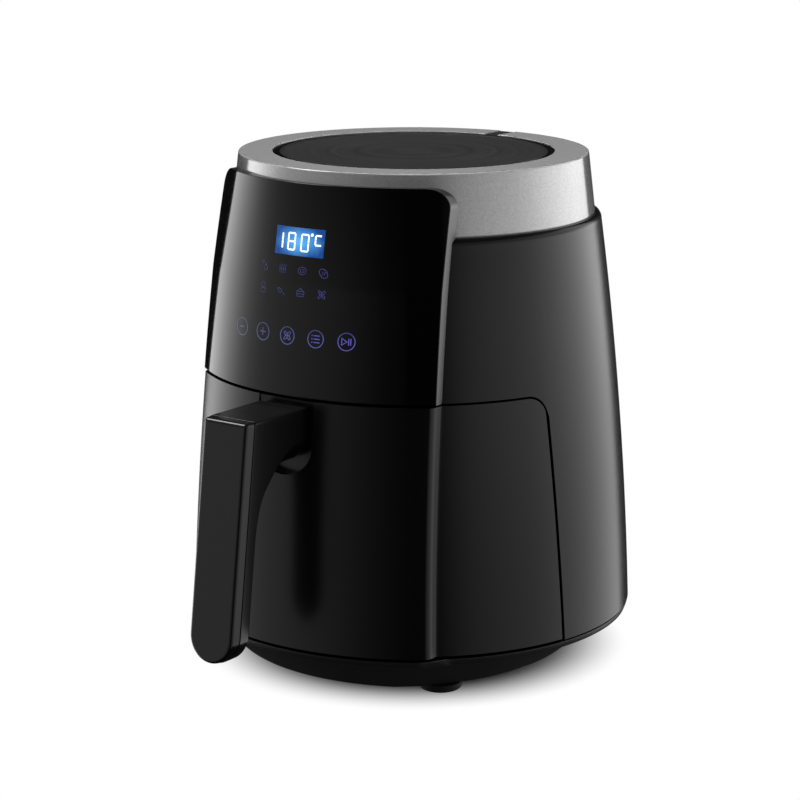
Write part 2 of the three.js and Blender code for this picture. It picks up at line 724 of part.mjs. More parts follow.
function drawerFront() {
  const outside = common(
    drawerForm(0, DRAWER_BOTTOM, DRAWER_TOP),
    drawerZone(WING_EDGE, 0, DRAWER_TOP, WING_CORNER),
  );
  const room = drawerForm(DRAWER_WALL, DRAWER_BOTTOM + DRAWER_WALL, DRAWER_TOP + 5);
  const distance = plateDistance(POCKET_CENTRE);
  const pocketBack = common(
    drawerForm(0.5, DRAWER_BOTTOM, DRAWER_TOP - 0.3),
    pushedAlongY(
      roundBottomed(POCKET_HALF_WIDTH + 3, POCKET_CENTRE, DRAWER_TOP - 0.3),
      -distance - 5,
      -distance + POCKET_DEPTH + 3,
    ),
  );
  const pocket = pushedAlongY(
    roundBottomed(POCKET_HALF_WIDTH, POCKET_CENTRE, DRAWER_TOP + 5),
    -distance - 10,
    -distance + POCKET_DEPTH,
  );
  const [x, , z] = SWITCH_PLACE;
  const tongue = block([x - 3, -WING_EDGE - 14, z - 4], [x + 7, -WING_EDGE - 0.1, z + 4]);
  const tongueTrimmed = common(tongue, drawerForm(0.5, DRAWER_BOTTOM, DRAWER_TOP));
  const bolts = HANDLE_BOLTS.map((height) =>
    cylinder(2.3, 0, 40, 12).rotateX(Math.PI / 2).translate(0, -distance + 20, height),
  );
  return cut(join(cut(outside, room), pocketBack, tongueTrimmed), pocket, ...bolts);
}

// Deck that closes the drawer between its front and the pan.
function drawerDeck() {
  const high = DRAWER_TOP - 6;
  const sheet = common(
    drawerForm(DRAWER_WALL + CLEAR, high - 2, high),
    block([-140, -160, 100], [140, -WING_EDGE - 0.5, 200]),
  );
  const pocketRoom = block([-POCKET_HALF_WIDTH - 4, -160, 100], [POCKET_HALF_WIDTH + 4, -114, 200]);
  return cut(sheet, cylinder(PAN_RADIUS + 3.6, 150, 200, AROUND), pocketRoom);
}

// Pan with a rolled flange, and a bracket at the front that holds it to the drawer front.
function pan() {
  const bowl = turned([
    [0, PAN_BOTTOM],
    [PAN_FLOOR_RADIUS - 6, PAN_BOTTOM],
    [PAN_FLOOR_RADIUS, PAN_BOTTOM + 6],
    [PAN_RADIUS, PAN_TOP - 4],
    [PAN_RADIUS + 3, PAN_TOP - 4],
    [PAN_RADIUS + 3, PAN_TOP],
    [PAN_RADIUS - PAN_WALL, PAN_TOP],
    [PAN_FLOOR_RADIUS - PAN_WALL, PAN_BOTTOM + 7],
    [PAN_FLOOR_RADIUS - 7, PAN_BOTTOM + PAN_WALL],
    [0, PAN_BOTTOM + PAN_WALL],
  ]);
  const bracket = join(
    block([-26, -116.5, 92], [26, -114.5, 156]),
    block([-26, -116, 140], [26, -92, 142]),
    block([-26, -116, 106], [26, -90, 108]),
  );
  const inside = turned([
    [0, PAN_BOTTOM + PAN_WALL],
    [PAN_FLOOR_RADIUS - 7, PAN_BOTTOM + PAN_WALL],
    [PAN_FLOOR_RADIUS - PAN_WALL, PAN_BOTTOM + 7],
    [PAN_RADIUS - PAN_WALL, PAN_TOP],
    [0, PAN_TOP],
  ]);
  return join(bowl, cut(bracket, inside));
}

function crisperPlate() {
  const low = CRISPER_HEIGHT - CRISPER_THICK;
  const plate = turned([
    [0, low], [CRISPER_RADIUS - 2, low], [CRISPER_RADIUS, low + 1],
    [CRISPER_RADIUS, CRISPER_HEIGHT + 3.4], [CRISPER_RADIUS - 1.4, CRISPER_HEIGHT + 3.4],
    [CRISPER_RADIUS - 2.4, CRISPER_HEIGHT], [0, CRISPER_HEIGHT],
  ]);
  const holes = [[30, 8], [56, 14]].flatMap(([radius, count]) =>
    Array.from({ length: count }, (_, i) => {
      const angle = (2 * Math.PI * i) / count;
      return cylinder(4.5, low - 3, CRISPER_HEIGHT + 3, 6).translate(
        radius * Math.cos(angle),
        radius * Math.sin(angle),
        0,
      );
    }),
  );
  const thumbHole = cylinder(8, low - 3, CRISPER_HEIGHT + 3, 12);
  const seats = BUMPER_ANGLES.map((angle) => bumperSeat(angle));
  return cut(plate, ...holes, thumbHole, ...seats);
}

const BUMPER_ANGLES = [45, 135, 225, 315].map(THREE.MathUtils.degToRad);

// Slot in the plate's rim that a bumper is pushed into.
const bumperSeat = (angle) =>
  block([CRISPER_RADIUS - 4, -6.4, 50], [CRISPER_RADIUS + 4, 6.4, 80]).rotateZ(angle);

// Silicone bumper: it stands on the pan's floor and holds the plate off the wall.
const bumper = (angle) =>
  block([CRISPER_RADIUS - 3.6, -6, PAN_BOTTOM + 9], [CRISPER_RADIUS + 1.6, 6, CRISPER_HEIGHT + 4])
    .rotateZ(angle);

// ---------------------------------------------------------------- handle

const HANDLE_BOLTS = [142, 162];
const handleFace = (height) => HANDLE_FACE_TOP + (HANDLE_TOP - height) * HANDLE_TILT;

function handleBody() {
  const face = (height) => handleFace(height) - HANDLE_COVER - 0.5;
  const back = (height) => handleFace(height) - GRIP_DEPTH;
  const rootStart = plateDistance(POCKET_CENTRE) + 3;
  const side = new THREE.Shape();
  side.moveTo(rootStart, HANDLE_TOP);
  side.lineTo(face(HANDLE_TOP), HANDLE_TOP);
  side.lineTo(face(HANDLE_BOTTOM), HANDLE_BOTTOM);
  side.lineTo(back(HANDLE_BOTTOM), HANDLE_BOTTOM);
  side.lineTo(back(108), 108);
  side.bezierCurveTo(170.5, 126, 166, 142, 146, 145);
  side.lineTo(rootStart, 148);
  side.closePath();
  const bar = pushedAcross(side, -HANDLE_WIDTH / 2, HANDLE_WIDTH / 2, 10);
  const half = HANDLE_WIDTH / 2;
  const front = pushedAlongY(roundBottomed(half, HANDLE_BOTTOM + half, HANDLE_TOP + 1), -230, 0);
  const floor = -plateDistance(POCKET_CENTRE) + POCKET_DEPTH - CLEAR;
  const root = pushedAlongY(
    roundBottomed(ROOT_HALF_WIDTH, POCKET_CENTRE + 2, HANDLE_TOP),
    -rootStart - 4,
    floor,
  );
  const bolts = HANDLE_BOLTS.map((height) =>
    cylinder(1.9, 0, 24, 12).rotateX(Math.PI / 2).translate(0, floor + 1, height),
  );
  return cut(join(common(bar, front), root), ...bolts);
}

// Front plate of the handle, with a bevelled edge, leaning with the grip.
function handleCover() {
  const half = HANDLE_WIDTH / 2;
  const bevel = 1;
  const lean = Math.atan(HANDLE_TILT);
  const length = (HANDLE_TOP - HANDLE_BOTTOM) / Math.cos(lean);
  const shape = roundBottomed(half - bevel, half - length, -bevel);
  const settings = {
    depth: HANDLE_COVER - 2 * bevel,
    bevelThickness: bevel,
    bevelSize: bevel,
    bevelSegments: 1,
    curveSegments: 10,
  };
  const plate = new THREE.ExtrudeGeometry(shape, settings);
  return plate.rotateX(Math.PI / 2).translate(0, HANDLE_COVER - bevel, 0);
}

const handleScrew = (height) => {
  const start = -plateDistance(POCKET_CENTRE) + POCKET_DEPTH + 3 + CLEAR;
  return turned([[0, 0], [1.5, 0], [1.5, 18], [3.8, 18], [3.8, 20.5], [0, 20.5]], 12)
    .rotateX(-Math.PI / 2)
    .translate(0, start - 18, height);
};

// ---------------------------------------------------------------- assembly

const fryer = new THREE.Group();

function add(name, geometry, material, place = [0, 0, 0]) {
  const mesh = new THREE.Mesh(geometryOf(solidOf(geometry)), material);
  mesh.name = name;
  mesh.position.set(...place);
  fryer.add(mesh);
  return mesh;
}

add("base", base(), BASE_BLACK);
FOOT_PLACES.forEach(([x, y], i) => {
  add(`foot_${i + 1}`, foot(), RUBBER, [x, y, 0]);
  add(`base_screw_${i + 1}`, baseScrew(), STEEL, [x * 0.72, y * 0.72, 0]);
});

add("outer_shell", outerShell(), SATIN_BLACK);
add("top_ring", topRing(), SILVER_PAINT);
add("rear_vent_insert", ventInsert(), BASE_BLACK);
add("top_disc", topDisc(), DARK_METAL);
add("top_frame", topFrame(), BASE_BLACK);
add("exhaust_grille", exhaustGrille(), BASE_BLACK);
add("cord_gland", cordGland(), RUBBER);

add("control_panel", controlPanel(), GLOSS_BLACK);
add("display_lens", displayLens(), LENS);
add("display_module", displayModule(), BASE_BLACK);
add("control_board", controlBoard(), BOARD_GREEN);
add("compartment_floor", compartmentFloor(), BASE_BLACK);
add("power_board", powerBoard(), BOARD_GREEN);

add("chamber_liner", chamberLiner(), GALVANISED);
add("front_bulkhead", bulkhead(), BASE_BLACK);
add("pan_rail_right", panRail(1), GALVANISED);
add("pan_rail_left", panRail(-1), GALVANISED);
add("pan_catch", panCatch(), STEEL);

add("heater_shield", heaterShield(), GALVANISED);
add("heating_element", heatingElement(), STEEL);
add("heater_guard", heaterGuard(), STEEL);
add("convection_fan", convectionFan(), GALVANISED);
add("cooling_fan", coolingFan(), BASE_BLACK);
add("motor_shaft", motorShaft(), STEEL);
add("fan_nut", fanNut(), STEEL);
add("fan_motor", fanMotor(), GALVANISED);
add("motor_bracket", motorBracket(), GALVANISED);
add("temperature_sensor", temperatureSensor(), STEEL);
add("thermal_fuse", thermalFuse(), STEEL);
add("microswitch", microswitch(), BASE_BLACK);
add("switch_plunger", switchPlunger(), RUBBER);

add("drawer_front", drawerFront(), SATIN_BLACK);
add("drawer_deck", drawerDeck(), BASE_BLACK);
add("pan", pan(), NONSTICK);
add("handle_body", handleBody(), SATIN_BLACK);
const cover = add("handle_cover", handleCover(), SATIN_BLACK, [0, -HANDLE_FACE_TOP, HANDLE_TOP]);
cover.rotation.x = -Math.atan(HANDLE_TILT);
HANDLE_BOLTS.forEach((height, i) => add(`handle_screw_${i + 1}`, handleScrew(height), STEEL));

add("crisper_plate", crisperPlate(), NONSTICK);
BUMPER_ANGLES.forEach((angle, i) => add(`crisper_bumper_${i + 1}`, bumper(angle), RUBBER));

// Move the origin to the middle of the footprint.
const footprint = new THREE.Box3().setFromObject(fryer, true);
fryer.position.y = -(footprint.min.y + footprint.max.y) / 2;

export default fryer;
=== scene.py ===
"""A countertop air fryer, drawn finely round its CAD frame.

Blender works in metres. Shapes here are worked out in millimetres, from the body's own vertical axis,
and piece() turns them into metres in the frame's place. The front, with the panel and handle, faces -Y.
"""

import json
import math

import bmesh
import bpy
import numpy as np
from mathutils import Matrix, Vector


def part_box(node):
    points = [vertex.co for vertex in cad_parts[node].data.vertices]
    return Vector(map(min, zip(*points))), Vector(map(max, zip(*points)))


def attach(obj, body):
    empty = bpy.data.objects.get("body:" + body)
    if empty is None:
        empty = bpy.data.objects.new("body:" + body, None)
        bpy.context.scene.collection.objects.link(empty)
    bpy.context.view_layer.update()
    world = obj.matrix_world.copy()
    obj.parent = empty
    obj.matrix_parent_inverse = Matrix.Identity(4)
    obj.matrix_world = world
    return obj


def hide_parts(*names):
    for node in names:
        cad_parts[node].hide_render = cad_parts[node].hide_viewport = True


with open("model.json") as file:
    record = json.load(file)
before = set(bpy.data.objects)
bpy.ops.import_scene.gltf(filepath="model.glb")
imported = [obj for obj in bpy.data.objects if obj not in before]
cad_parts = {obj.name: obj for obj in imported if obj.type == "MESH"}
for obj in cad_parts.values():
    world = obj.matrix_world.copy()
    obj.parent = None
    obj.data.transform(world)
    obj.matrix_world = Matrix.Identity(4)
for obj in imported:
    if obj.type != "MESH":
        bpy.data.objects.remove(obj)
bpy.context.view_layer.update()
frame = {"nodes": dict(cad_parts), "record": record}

# ---------------------------------------------------------------- sizes, in millimetres

MM = 0.001


def low(node):
    """Lowest corner of a CAD node's box."""
    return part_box(node)[0] / MM


def high(node):
    """Highest corner of a CAD node's box."""
    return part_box(node)[1] / MM


AXIS_Y = (low("top_disc").y + high("top_disc").y) / 2
AXIS = (0, AXIS_Y * MM, 0)  # foot of the body's axis, in metres
BODY_RADIUS = high("outer_shell").x
BODY_LEAN = 0.0383  # how fast the body narrows upwards, and how fast that grows
BODY_FLARE = 0.000212
SHELL_LOW = low("outer_shell").z
SHELL_TOP = high("outer_shell").z
SHELL_WALL = 2.8
SHOULDER = 4.5

RING_TOP = high("top_ring").z
RING_LOW = SHELL_TOP + 0.8
RING_RADIUS_LOW = 108.1
RING_RADIUS_HIGH = 104.0
RING_BORE = 83.8
NOTCH_ANGLE = 5.2 / 94  # half of the notch, in radians

PANEL_LOW = low("control_panel").z
PANEL_TOP = high("control_panel").z
PANEL_CORNER = 12.0
PLATE_PROUD = 3.6
PLATE_SETBACK = 8.0
PLATE_TUCK = 2.2
PLATE_TUCK_START = 240.0
PLATE_HALF_WIDTH = 80.75
PLATE_SPREAD = 0.027
PLATE_WIDTH_LEVEL = 290.0

DRAWER_LOW = low("drawer_front").z
DRAWER_TOP = high("drawer_front").z
DRAWER_WALL = 3.0
DRAWER_GAP = 2.0
DRAWER_PLATE_INSET = 1.1
DRAWER_EDGE_ROUNDING = 3.4  # of the plate's side edge, and of the corner where the wing starts
DRAWER_ROOT_ROUNDING = 0.5
WING_CORNER = 11.0
WING_EDGE_LOW = 32.0
WING_EDGE_SLOPE = 0.033
POCKET_HALF = 19.5
POCKET_CENTRE = 149.2
POCKET_REACH = 16.4
POCKET_DEPTH = 4.5

HANDLE_HALF = high("handle_body").x
HANDLE_TOP = high("handle_body").z
HANDLE_LOW = low("handle_body").z
HANDLE_FACE_TOP = 179.5
HANDLE_TILT = 0.133
GRIP_DEPTH = 15.0

# ---------------------------------------------------------------- the body's outer form


def body_radius(z):
    rise = z - SHELL_LOW
    return BODY_RADIUS - BODY_LEAN * rise - BODY_FLARE * rise * rise


def ring_radius(z):
    share = (z - RING_LOW) / (RING_TOP - RING_LOW)
    return RING_RADIUS_LOW + (RING_RADIUS_HIGH - RING_RADIUS_LOW) * share


def plate_distance(z):
    """How far in front of the axis the middle of the front plate is."""
    tuck = np.maximum(0, (z - PLATE_TUCK_START) / (PANEL_TOP - PLATE_TUCK_START))
    return body_radius(z) + PLATE_PROUD - PLATE_TUCK * tuck


def plate_half(z):
    """Half of the front plate's width."""
    return PLATE_HALF_WIDTH + PLATE_SPREAD * (PLATE_WIDTH_LEVEL - z)


def plate_y(x, z, inset=0.0):
    radius = plate_distance(z) + PLATE_SETBACK - inset
    return PLATE_SETBACK - np.sqrt(radius**2 - x**2)


def wing_edge(z):
    """How far in front of the axis the drawer's side edges are."""
    return WING_EDGE_LOW + WING_EDGE_SLOPE * (z - DRAWER_LOW)


def on_plate(grid, depth=0.0):
    """Grid of (x, z) as points on the front plate, or that far behind it."""
    x, z = grid[..., 0], grid[..., 1]
    return np.stack([x, plate_y(x, z) + depth, z], axis=-1)


# ---------------------------------------------------------------- mesh tools


def link_object(name, data):
    made = bpy.data.objects.new(name, data)
    bpy.context.scene.collection.objects.link(made)
    return made


def clean_mesh(name, shape):
    """A mesh from (points, faces), with double points merged and the faces turned outwards."""
    points, faces = shape
    placed = (np.asarray(points, float) + (0, AXIS_Y, 0)) * MM
    mesh = bpy.data.meshes.new(name)
    mesh.from_pydata(placed.tolist(), [], [[int(i) for i in face] for face in faces])
    work = bmesh.new()
    work.from_mesh(mesh)
    bmesh.ops.remove_doubles(work, verts=work.verts, dist=2e-6)
    bmesh.ops.dissolve_degenerate(work, edges=work.edges, dist=1e-7)
    bmesh.ops.recalc_face_normals(work, faces=work.faces)
    work.to_mesh(mesh)
    work.free()
    return mesh


def shade(mesh, sharp):
    """Smooth shading, except across edges that bend by more than that many degrees."""
    mesh.shade_smooth()
    mesh.set_sharp_from_angle(angle=math.radians(sharp))


def piece(name, shape, body, slot, nodes=(), sharp=40, bevel=0.0, look=None):
    """Makes an object from (points, faces), gives it its finish and lets it ride on a CAD body. look names
    its finish where that isn't the slot's own."""
    mesh = clean_mesh(name, shape)
    shade(mesh, sharp)
    made = link_object(name, mesh)
    if bevel:
        rounding = made.modifiers.new("rounding", "BEVEL")
        rounding.width = bevel * MM
        rounding.segments = 3
        rounding.limit_method = "ANGLE"
        rounding.angle_limit = math.radians(sharp)
        rounding.harden_normals = True
    else:
        normals = made.modifiers.new("normals", "WEIGHTED_NORMAL")
        normals.keep_sharp = True
    mesh.materials.append(finish(look or slot))
    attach(made, body)
    if nodes:
        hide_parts(*nodes)
    return made


def numbered(rows, columns, closed=True):
    """A grid of point numbers. Where it is closed, each row ends with its own first number."""
    index = np.arange(rows * columns).reshape(rows, columns)
    return np.hstack([index, index[:, :1]]) if closed else index


def quads(index):
    """Faces of a grid of point numbers."""
    a, b, c, d = index[:-1, :-1], index[:-1, 1:], index[1:, 1:], index[1:, :-1]
    return np.stack([a, b, c, d], axis=-1).reshape(-1, 4).tolist()


def border(grid):
    """What lies round a grid: bottom row, right column, top row, left column."""
    return np.concatenate([grid[0, :-1], grid[:-1, -1], grid[-1, :0:-1], grid[:0:-1, 0]])


def slab(front, rings, back):
    """A closed body from a front grid, loops round its edge, and a back grid of the same size."""
    rows, cols = front.shape[:2]
    count = 2 * (rows + cols) - 4
    points = [front.reshape(-1, 3), *rings, back.reshape(-1, 3)]
    index = numbered(rows, cols, closed=False)
    back_index = index + rows * cols + len(rings) * count
    loops = [border(index)]
    loops += [rows * cols + k * count + np.arange(count) for k in range(len(rings))]
    loops.append(border(back_index))
    faces = quads(index) + [face[::-1] for face in quads(back_index)]
    for near, far in zip(loops, loops[1:]):
        for i in range(count):
            faces.append([near[i], near[i - 1], far[i - 1], far[i]])
    return np.concatenate(points), faces


def thick(blocks):
    """A closed wall from blocks of (outer grid, inner grid). Blocks join where their points agree."""
    number, outer, inner, faces = {}, [], [], []
    for outside, inside in blocks:
        rows, cols = outside.shape[:2]
        index = np.zeros((rows, cols), int)
        for j in range(rows):
            for i in range(cols):
                key = tuple(np.round(outside[j, i], 4))
                if key not in number:
                    number[key] = len(outer)
                    outer.append(outside[j, i])
                    inner.append(inside[j, i])
                index[j, i] = number[key]
        for face in quads(index):
            corners = [v for k, v in enumerate(face) if v != face[k - 1]]
            if len(corners) > 2:
                faces.append(corners)
    edges = {(f[k - 1], f[k]) for f in faces for k in range(len(f))}
    size = len(outer)
    rim = [[b, a, a + size, b + size] for a, b in edges if (b, a) not in edges]
    inside_faces = [[v + size for v in reversed(face)] for face in faces]
    return np.array(outer + inner), faces + inside_faces + sorted(rim)


def arc_points(start, corner, end, size, steps):
    """The corner of a path, rounded: its points from one side to the other."""
    start, corner, end = (np.array(p, float) for p in (start, corner, end))
    before, after = start - corner, end - corner
    first = corner + before * min(0.49, size / np.linalg.norm(before))
    last = corner + after * min(0.49, size / np.linalg.norm(after))
    share = np.linspace(0, 1, steps + 1)[:, None]
    return (1 - share) ** 2 * first + 2 * share * (1 - share) * corner + share**2 * last


def rounded(path, sizes, steps=4, closed=False):
    """A path of points with rounded corners. sizes is how far each rounding reaches, one for each point."""
    made = []
    for i, (point, size) in enumerate(zip(path, sizes)):
        inner_point = closed or 0 < i < len(path) - 1
        if size and inner_point:
            made.extend(arc_points(path[i - 1], point, path[(i + 1) % len(path)], size, steps))
        else:
            made.append(np.array(point, float))
    return np.array(made)


def turned(profile, segments=160, start=0.0, end=2 * math.pi):
    """A piece turned about the axis from (radius, height) points. A part turn gets flat ends."""
    whole = abs(end - start - 2 * math.pi) < 1e-9
    profile = np.asarray(profile, float)
    closed = np.allclose(profile[0], profile[-1])
    loop = profile[:-1] if closed else profile
    angles = np.linspace(start, end, segments + 1)[: segments if whole else None]
    points = np.array([[r * math.sin(a), -r * math.cos(a), z] for a in angles for r, z in loop])
    index = numbered(len(angles), len(loop), closed)
    if whole:
        return points, quads(np.vstack([index, index[:1]]))
    ends = [index[0, : len(loop)], index[-1, : len(loop)][::-1]]
    return points, quads(index) + [face.tolist() for face in ends]


def lofted(loops, closed=True):
    """A closed body through loops of the same number of points, with flat ends. Loops that are not
    closed get one flat side."""
    count = len(loops[0])
    index = numbered(len(loops), count, closed)
    faces = [index[0, :count], index[-1, :count][::-1], *quads(index)]
    if not closed:
        faces.append([*index[:, 0], *index[::-1, -1]])
    return np.concatenate(loops), faces


def combined(*shapes):
    """Several shapes as one, each still a closed body of its own."""
    points, faces = [], []
    for shape_points, shape_faces in shapes:
        start = sum(len(p) for p in points)
        points.append(np.asarray(shape_points, float))
        faces += [[v + start for v in face] for face in shape_faces]
    return np.concatenate(points), faces


def moved(shape, offset):
    points, faces = shape
    return points + np.array(offset, float), faces


def box_shape(corner_low, corner_high):
    corners = [(x, y, z) for z in (0, 1) for y in (0, 1) for x in (0, 1)]
    low_point, high_point = np.array(corner_low, float), np.array(corner_high, float)
    points = low_point + np.array(corners) * (high_point - low_point)
    faces = [[0, 2, 3, 1], [4, 5, 7, 6], [0, 1, 5, 4], [2, 6, 7, 3], [0, 4, 6, 2], [1, 3, 7, 5]]
    return points, faces


# ---------------------------------------------------------------- finishes


class Nodes:
    """A new material, with short names for adding shader nodes to it."""

    def __init__(self, name):
        self.material = bpy.data.materials.new(name)
        self.material.use_nodes = True
        self.tree = self.material.node_tree
        self.tree.nodes.clear()
        self.out = self.add("ShaderNodeOutputMaterial")

    def add(self, kind, inputs=None, **settings):
        node = self.tree.nodes.new(kind)
        for key, value in settings.items():
            setattr(node, key, value)
        for key, value in (inputs or {}).items():
            self.put(node.inputs[key], value)
        return node

    def put(self, socket, value):
        if isinstance(value, bpy.types.NodeSocket):
            self.tree.links.new(value, socket)
        else:
            socket.default_value = value

    def show(self, shader):
        """Makes a shader the material's surface."""
        self.put(self.out.inputs["Surface"], shader.outputs[0])

    def place(self):
        """The object's own place, in metres."""
        return self.add("ShaderNodeTexCoord").outputs["Object"]

    def parts(self, vector):
        """X, Y and Z of a vector."""
        return self.add("ShaderNodeSeparateXYZ", {"Vector": vector}).outputs

    def number(self, operation, *values):
        return self.add("ShaderNodeMath", dict(enumerate(values)), operation=operation).outputs[0]

    def vector(self, operation, *values):
        """Vector maths. What comes out is a number for a length or distance, and else a vector."""
        made = self.add("ShaderNodeVectorMath", dict(enumerate(values)), operation=operation)
        return made.outputs["Value" if operation in ("LENGTH", "DISTANCE") else "Vector"]

    def noise(self, scale, detail=3.0, rough=0.5, where=None):
        vector = self.place() if where is None else where
        inputs = {"Vector": vector, "Scale": scale, "Detail": detail, "Roughness": rough}
        return self.add("ShaderNodeTexNoise", inputs).outputs["Fac"]

    def cells(self, scale, output):
        return self.add("ShaderNodeTexVoronoi", {"Vector": self.place(), "Scale": scale}).outputs[output]

    def ranged(self, value, start, end, first=0.0, last=1.0, **settings):
        """A value that goes from start to end, moved to go from first to last and no further."""
        inputs = {"Value": value, "From Min": start, "From Max": end, "To Min": first, "To Max": last}
        return self.add("ShaderNodeMapRange", inputs, **settings).outputs["Result"]

    def spread(self, value, first, last):
        return self.ranged(value, 0.0, 1.0, first, last)

    def ramp(self, value, stops):
        """Colours between (place from 0 to 1, colour) stops."""
        made = self.add("ShaderNodeValToRGB", {"Fac": value})
        elements = made.color_ramp.elements
        while len(elements) < len(stops):
            elements.new(0.5)
        for element, (place, colour) in zip(elements, stops):
            element.position = place
            element.color = colour
        return made.outputs["Color"]

    def bump(self, height, distance, strength=1.0):
        """Distance is in millimetres."""
        inputs = {"Height": height, "Distance": distance * MM, "Strength": strength}
        return self.add("ShaderNodeBump", inputs).outputs["Normal"]

    def blend(self, share, first, second):
        made = self.add("ShaderNodeMix", {0: share, 6: first, 7: second}, data_type="RGBA")
        return made.outputs[2]

    def surface(self, **inputs):
        names = {key.replace("_", " "): value for key, value in inputs.items()}
        self.show(self.add("ShaderNodeBsdfPrincipled", names))


def grey(value):
    return (value, value, value, 1.0)


def moulded(nodes, colour, rough, wear, grain, depth, specular):
    """Moulded plastic: a fine grain, faint clouding of its gloss, and a slightly uneven black."""
    bumps = nodes.noise(grain, 2.0, 0.6)
    cloud = nodes.noise(22.0, 4.0, 0.55)
    lighter = [c * 1.35 + 0.0008 for c in colour]
    nodes.surface(
        Base_Color=nodes.blend(cloud, (*colour, 1.0), (*lighter, 1.0)),
        Roughness=nodes.spread(cloud, rough - wear, rough + wear),
        Normal=nodes.bump(bumps, depth),
        Specular_IOR_Level=specular,
    )


def fascia_black(nodes):
    """Gloss front sheet in a satin frame. The frame is what faces sideways or up."""
    facing = nodes.parts(nodes.add("ShaderNodeTexCoord").outputs["Normal"])
    frame_share = nodes.ranged(nodes.number("ABSOLUTE", facing["Y"]), 0.45, 0.35)
    sheet = nodes.blend(nodes.noise(14.0, 2.0), grey(0.0006), grey(0.0012))
    nodes.surface(
        Base_Color=nodes.blend(frame_share, sheet, grey(0.13)),
        Metallic=nodes.spread(frame_share, 0.0, 0.9),
        Roughness=nodes.spread(frame_share, 0.07, 0.20),
        Normal=nodes.bump(nodes.noise(2400.0, 2.0), 0.002),
    )


def silver_paint(nodes):
    """Grey metallic lacquer: tiny bright flakes under a clear coat."""
    flake = nodes.ranged(nodes.cells(2600.0, "Color"), 0.25, 0.9)
    nodes.surface(
        Base_Color=nodes.blend(flake, grey(0.45), grey(0.62)),
        Metallic=0.52,
        Specular_Tint=grey(0.45),
        Roughness=nodes.spread(nodes.noise(400.0, 2.0), 0.08, 0.14),
        Normal=nodes.bump(nodes.noise(3200.0, 1.0), 0.02, 0.6),
        Coat_Weight=0.25,
        Coat_Roughness=0.03,
    )


def spun_dark(nodes):
    """Dark metal turned on a lathe: fine rings round the axis."""
    from_axis = nodes.vector("SUBTRACT", nodes.place(), AXIS)
    radius = nodes.vector("LENGTH", nodes.vector("MULTIPLY", from_axis, (1, 1, 0)))

    def rings(scale, detail):
        inputs = {"W": radius, "Scale": scale, "Detail": detail}
        return nodes.add("ShaderNodeTexNoise", inputs, noise_dimensions="1D").outputs["Fac"]

    fine = rings(1500.0, 4.0)
    tangent = nodes.add("ShaderNodeTangent", direction_type="RADIAL", axis="Z")
    nodes.surface(
        Base_Color=nodes.blend(rings(160.0, 3.0), grey(0.018), grey(0.062)),
        Metallic=0.5,
        Roughness=nodes.spread(fine, 0.26, 0.40),
        Anisotropic=0.6,
        Tangent=tangent.outputs["Tangent"],
        Normal=nodes.bump(fine, 0.006),
    )


def nonstick(nodes):
    """Dark coating with a fine light speckle, a little worn."""
    speck = nodes.ranged(nodes.cells(1400.0, "Distance"), 0.10, 0.22, 1.0, 0.0)
    nodes.surface(
        Base_Color=nodes.blend(speck, grey(0.018), grey(0.085)),
        Metallic=0.2,
        Roughness=nodes.spread(nodes.noise(30.0, 4.0), 0.34, 0.46),
        Normal=nodes.bump(nodes.noise(1300.0), 0.015),
    )


def sheet_metal(nodes, light, dark, rough):
    """Rolled steel sheet: faint streaks along the roll, clouds, and a light tarnish."""
    long_way = nodes.vector("MULTIPLY", nodes.place(), (20.0, 20.0, 900.0))
    streak = nodes.noise(1.0, 3.0, 0.6, long_way)
    nodes.surface(
        Base_Color=nodes.blend(nodes.noise(26.0, 4.0), grey(dark), grey(light)),
        Metallic=0.95,
        Roughness=nodes.spread(streak, rough - 0.07, rough + 0.09),
        Normal=nodes.bump(streak, 0.004),
    )


def board_green(nodes):
    cloud = nodes.noise(300.0, 1.0)
    green = nodes.blend(cloud, (0.008, 0.07, 0.025, 1), (0.02, 0.12, 0.05, 1))
    nodes.surface(Base_Color=green, Roughness=0.45)


def display(nodes):
    """Blue backlight: brightest in the middle of the window, and darker towards its ends."""
    window_low, window_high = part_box("display_lens")
    shift = nodes.vector("SUBTRACT", nodes.place(), (window_low + window_high) / 2)
    dimming = (58.0, 1.0, 105.0)  # per metre from the middle
    reach = nodes.vector("LENGTH", nodes.vector("MULTIPLY", shift, dimming))
    uneven = nodes.spread(nodes.noise(160.0, 2.0), -0.18, 0.18)
    bright, dim = (0.11, 0.47, 1.0, 1), (0.003, 0.055, 0.26, 1)
    nodes.surface(
        Base_Color=(0.005, 0.02, 0.05, 1),
        Roughness=0.12,
        Emission_Color=nodes.ramp(nodes.number("ADD", reach, uneven), [(0.05, bright), (1.0, dim)]),
        Emission_Strength=1.0,
    )


def lit_white(nodes):
    nodes.surface(
        Base_Color=(0.4, 0.5, 0.6, 1),
        Roughness=0.3,
        Emission_Color=nodes.blend(nodes.noise(500.0), (0.80, 0.93, 1.0, 1), (1, 1, 1, 1)),
        Emission_Strength=1.35,
    )


def symbol_ink(nodes):
    """Backlit ink: grey blue at the left of the panel and clearer violet blue towards the right. What
    stands above the row of touch circles is dimmer."""
    place = nodes.parts(nodes.place())
    patchy = nodes.spread(nodes.noise(700.0, 1.0), 0.30, 0.60)
    circle_middle, circle_top = 0.212, 0.218  # metres
    upper = nodes.ranged(place["Z"], circle_middle, circle_top, 1.0, 0.42)
    across = nodes.ranged(place["X"], -0.040, 0.034)
    nodes.surface(
        Base_Color=(0.02, 0.02, 0.04, 1),
        Roughness=0.3,
        Emission_Color=nodes.blend(across, (0.16, 0.20, 0.36, 1), (0.22, 0.20, 0.95, 1)),
        Emission_Strength=nodes.number("MULTIPLY", patchy, upper),
    )


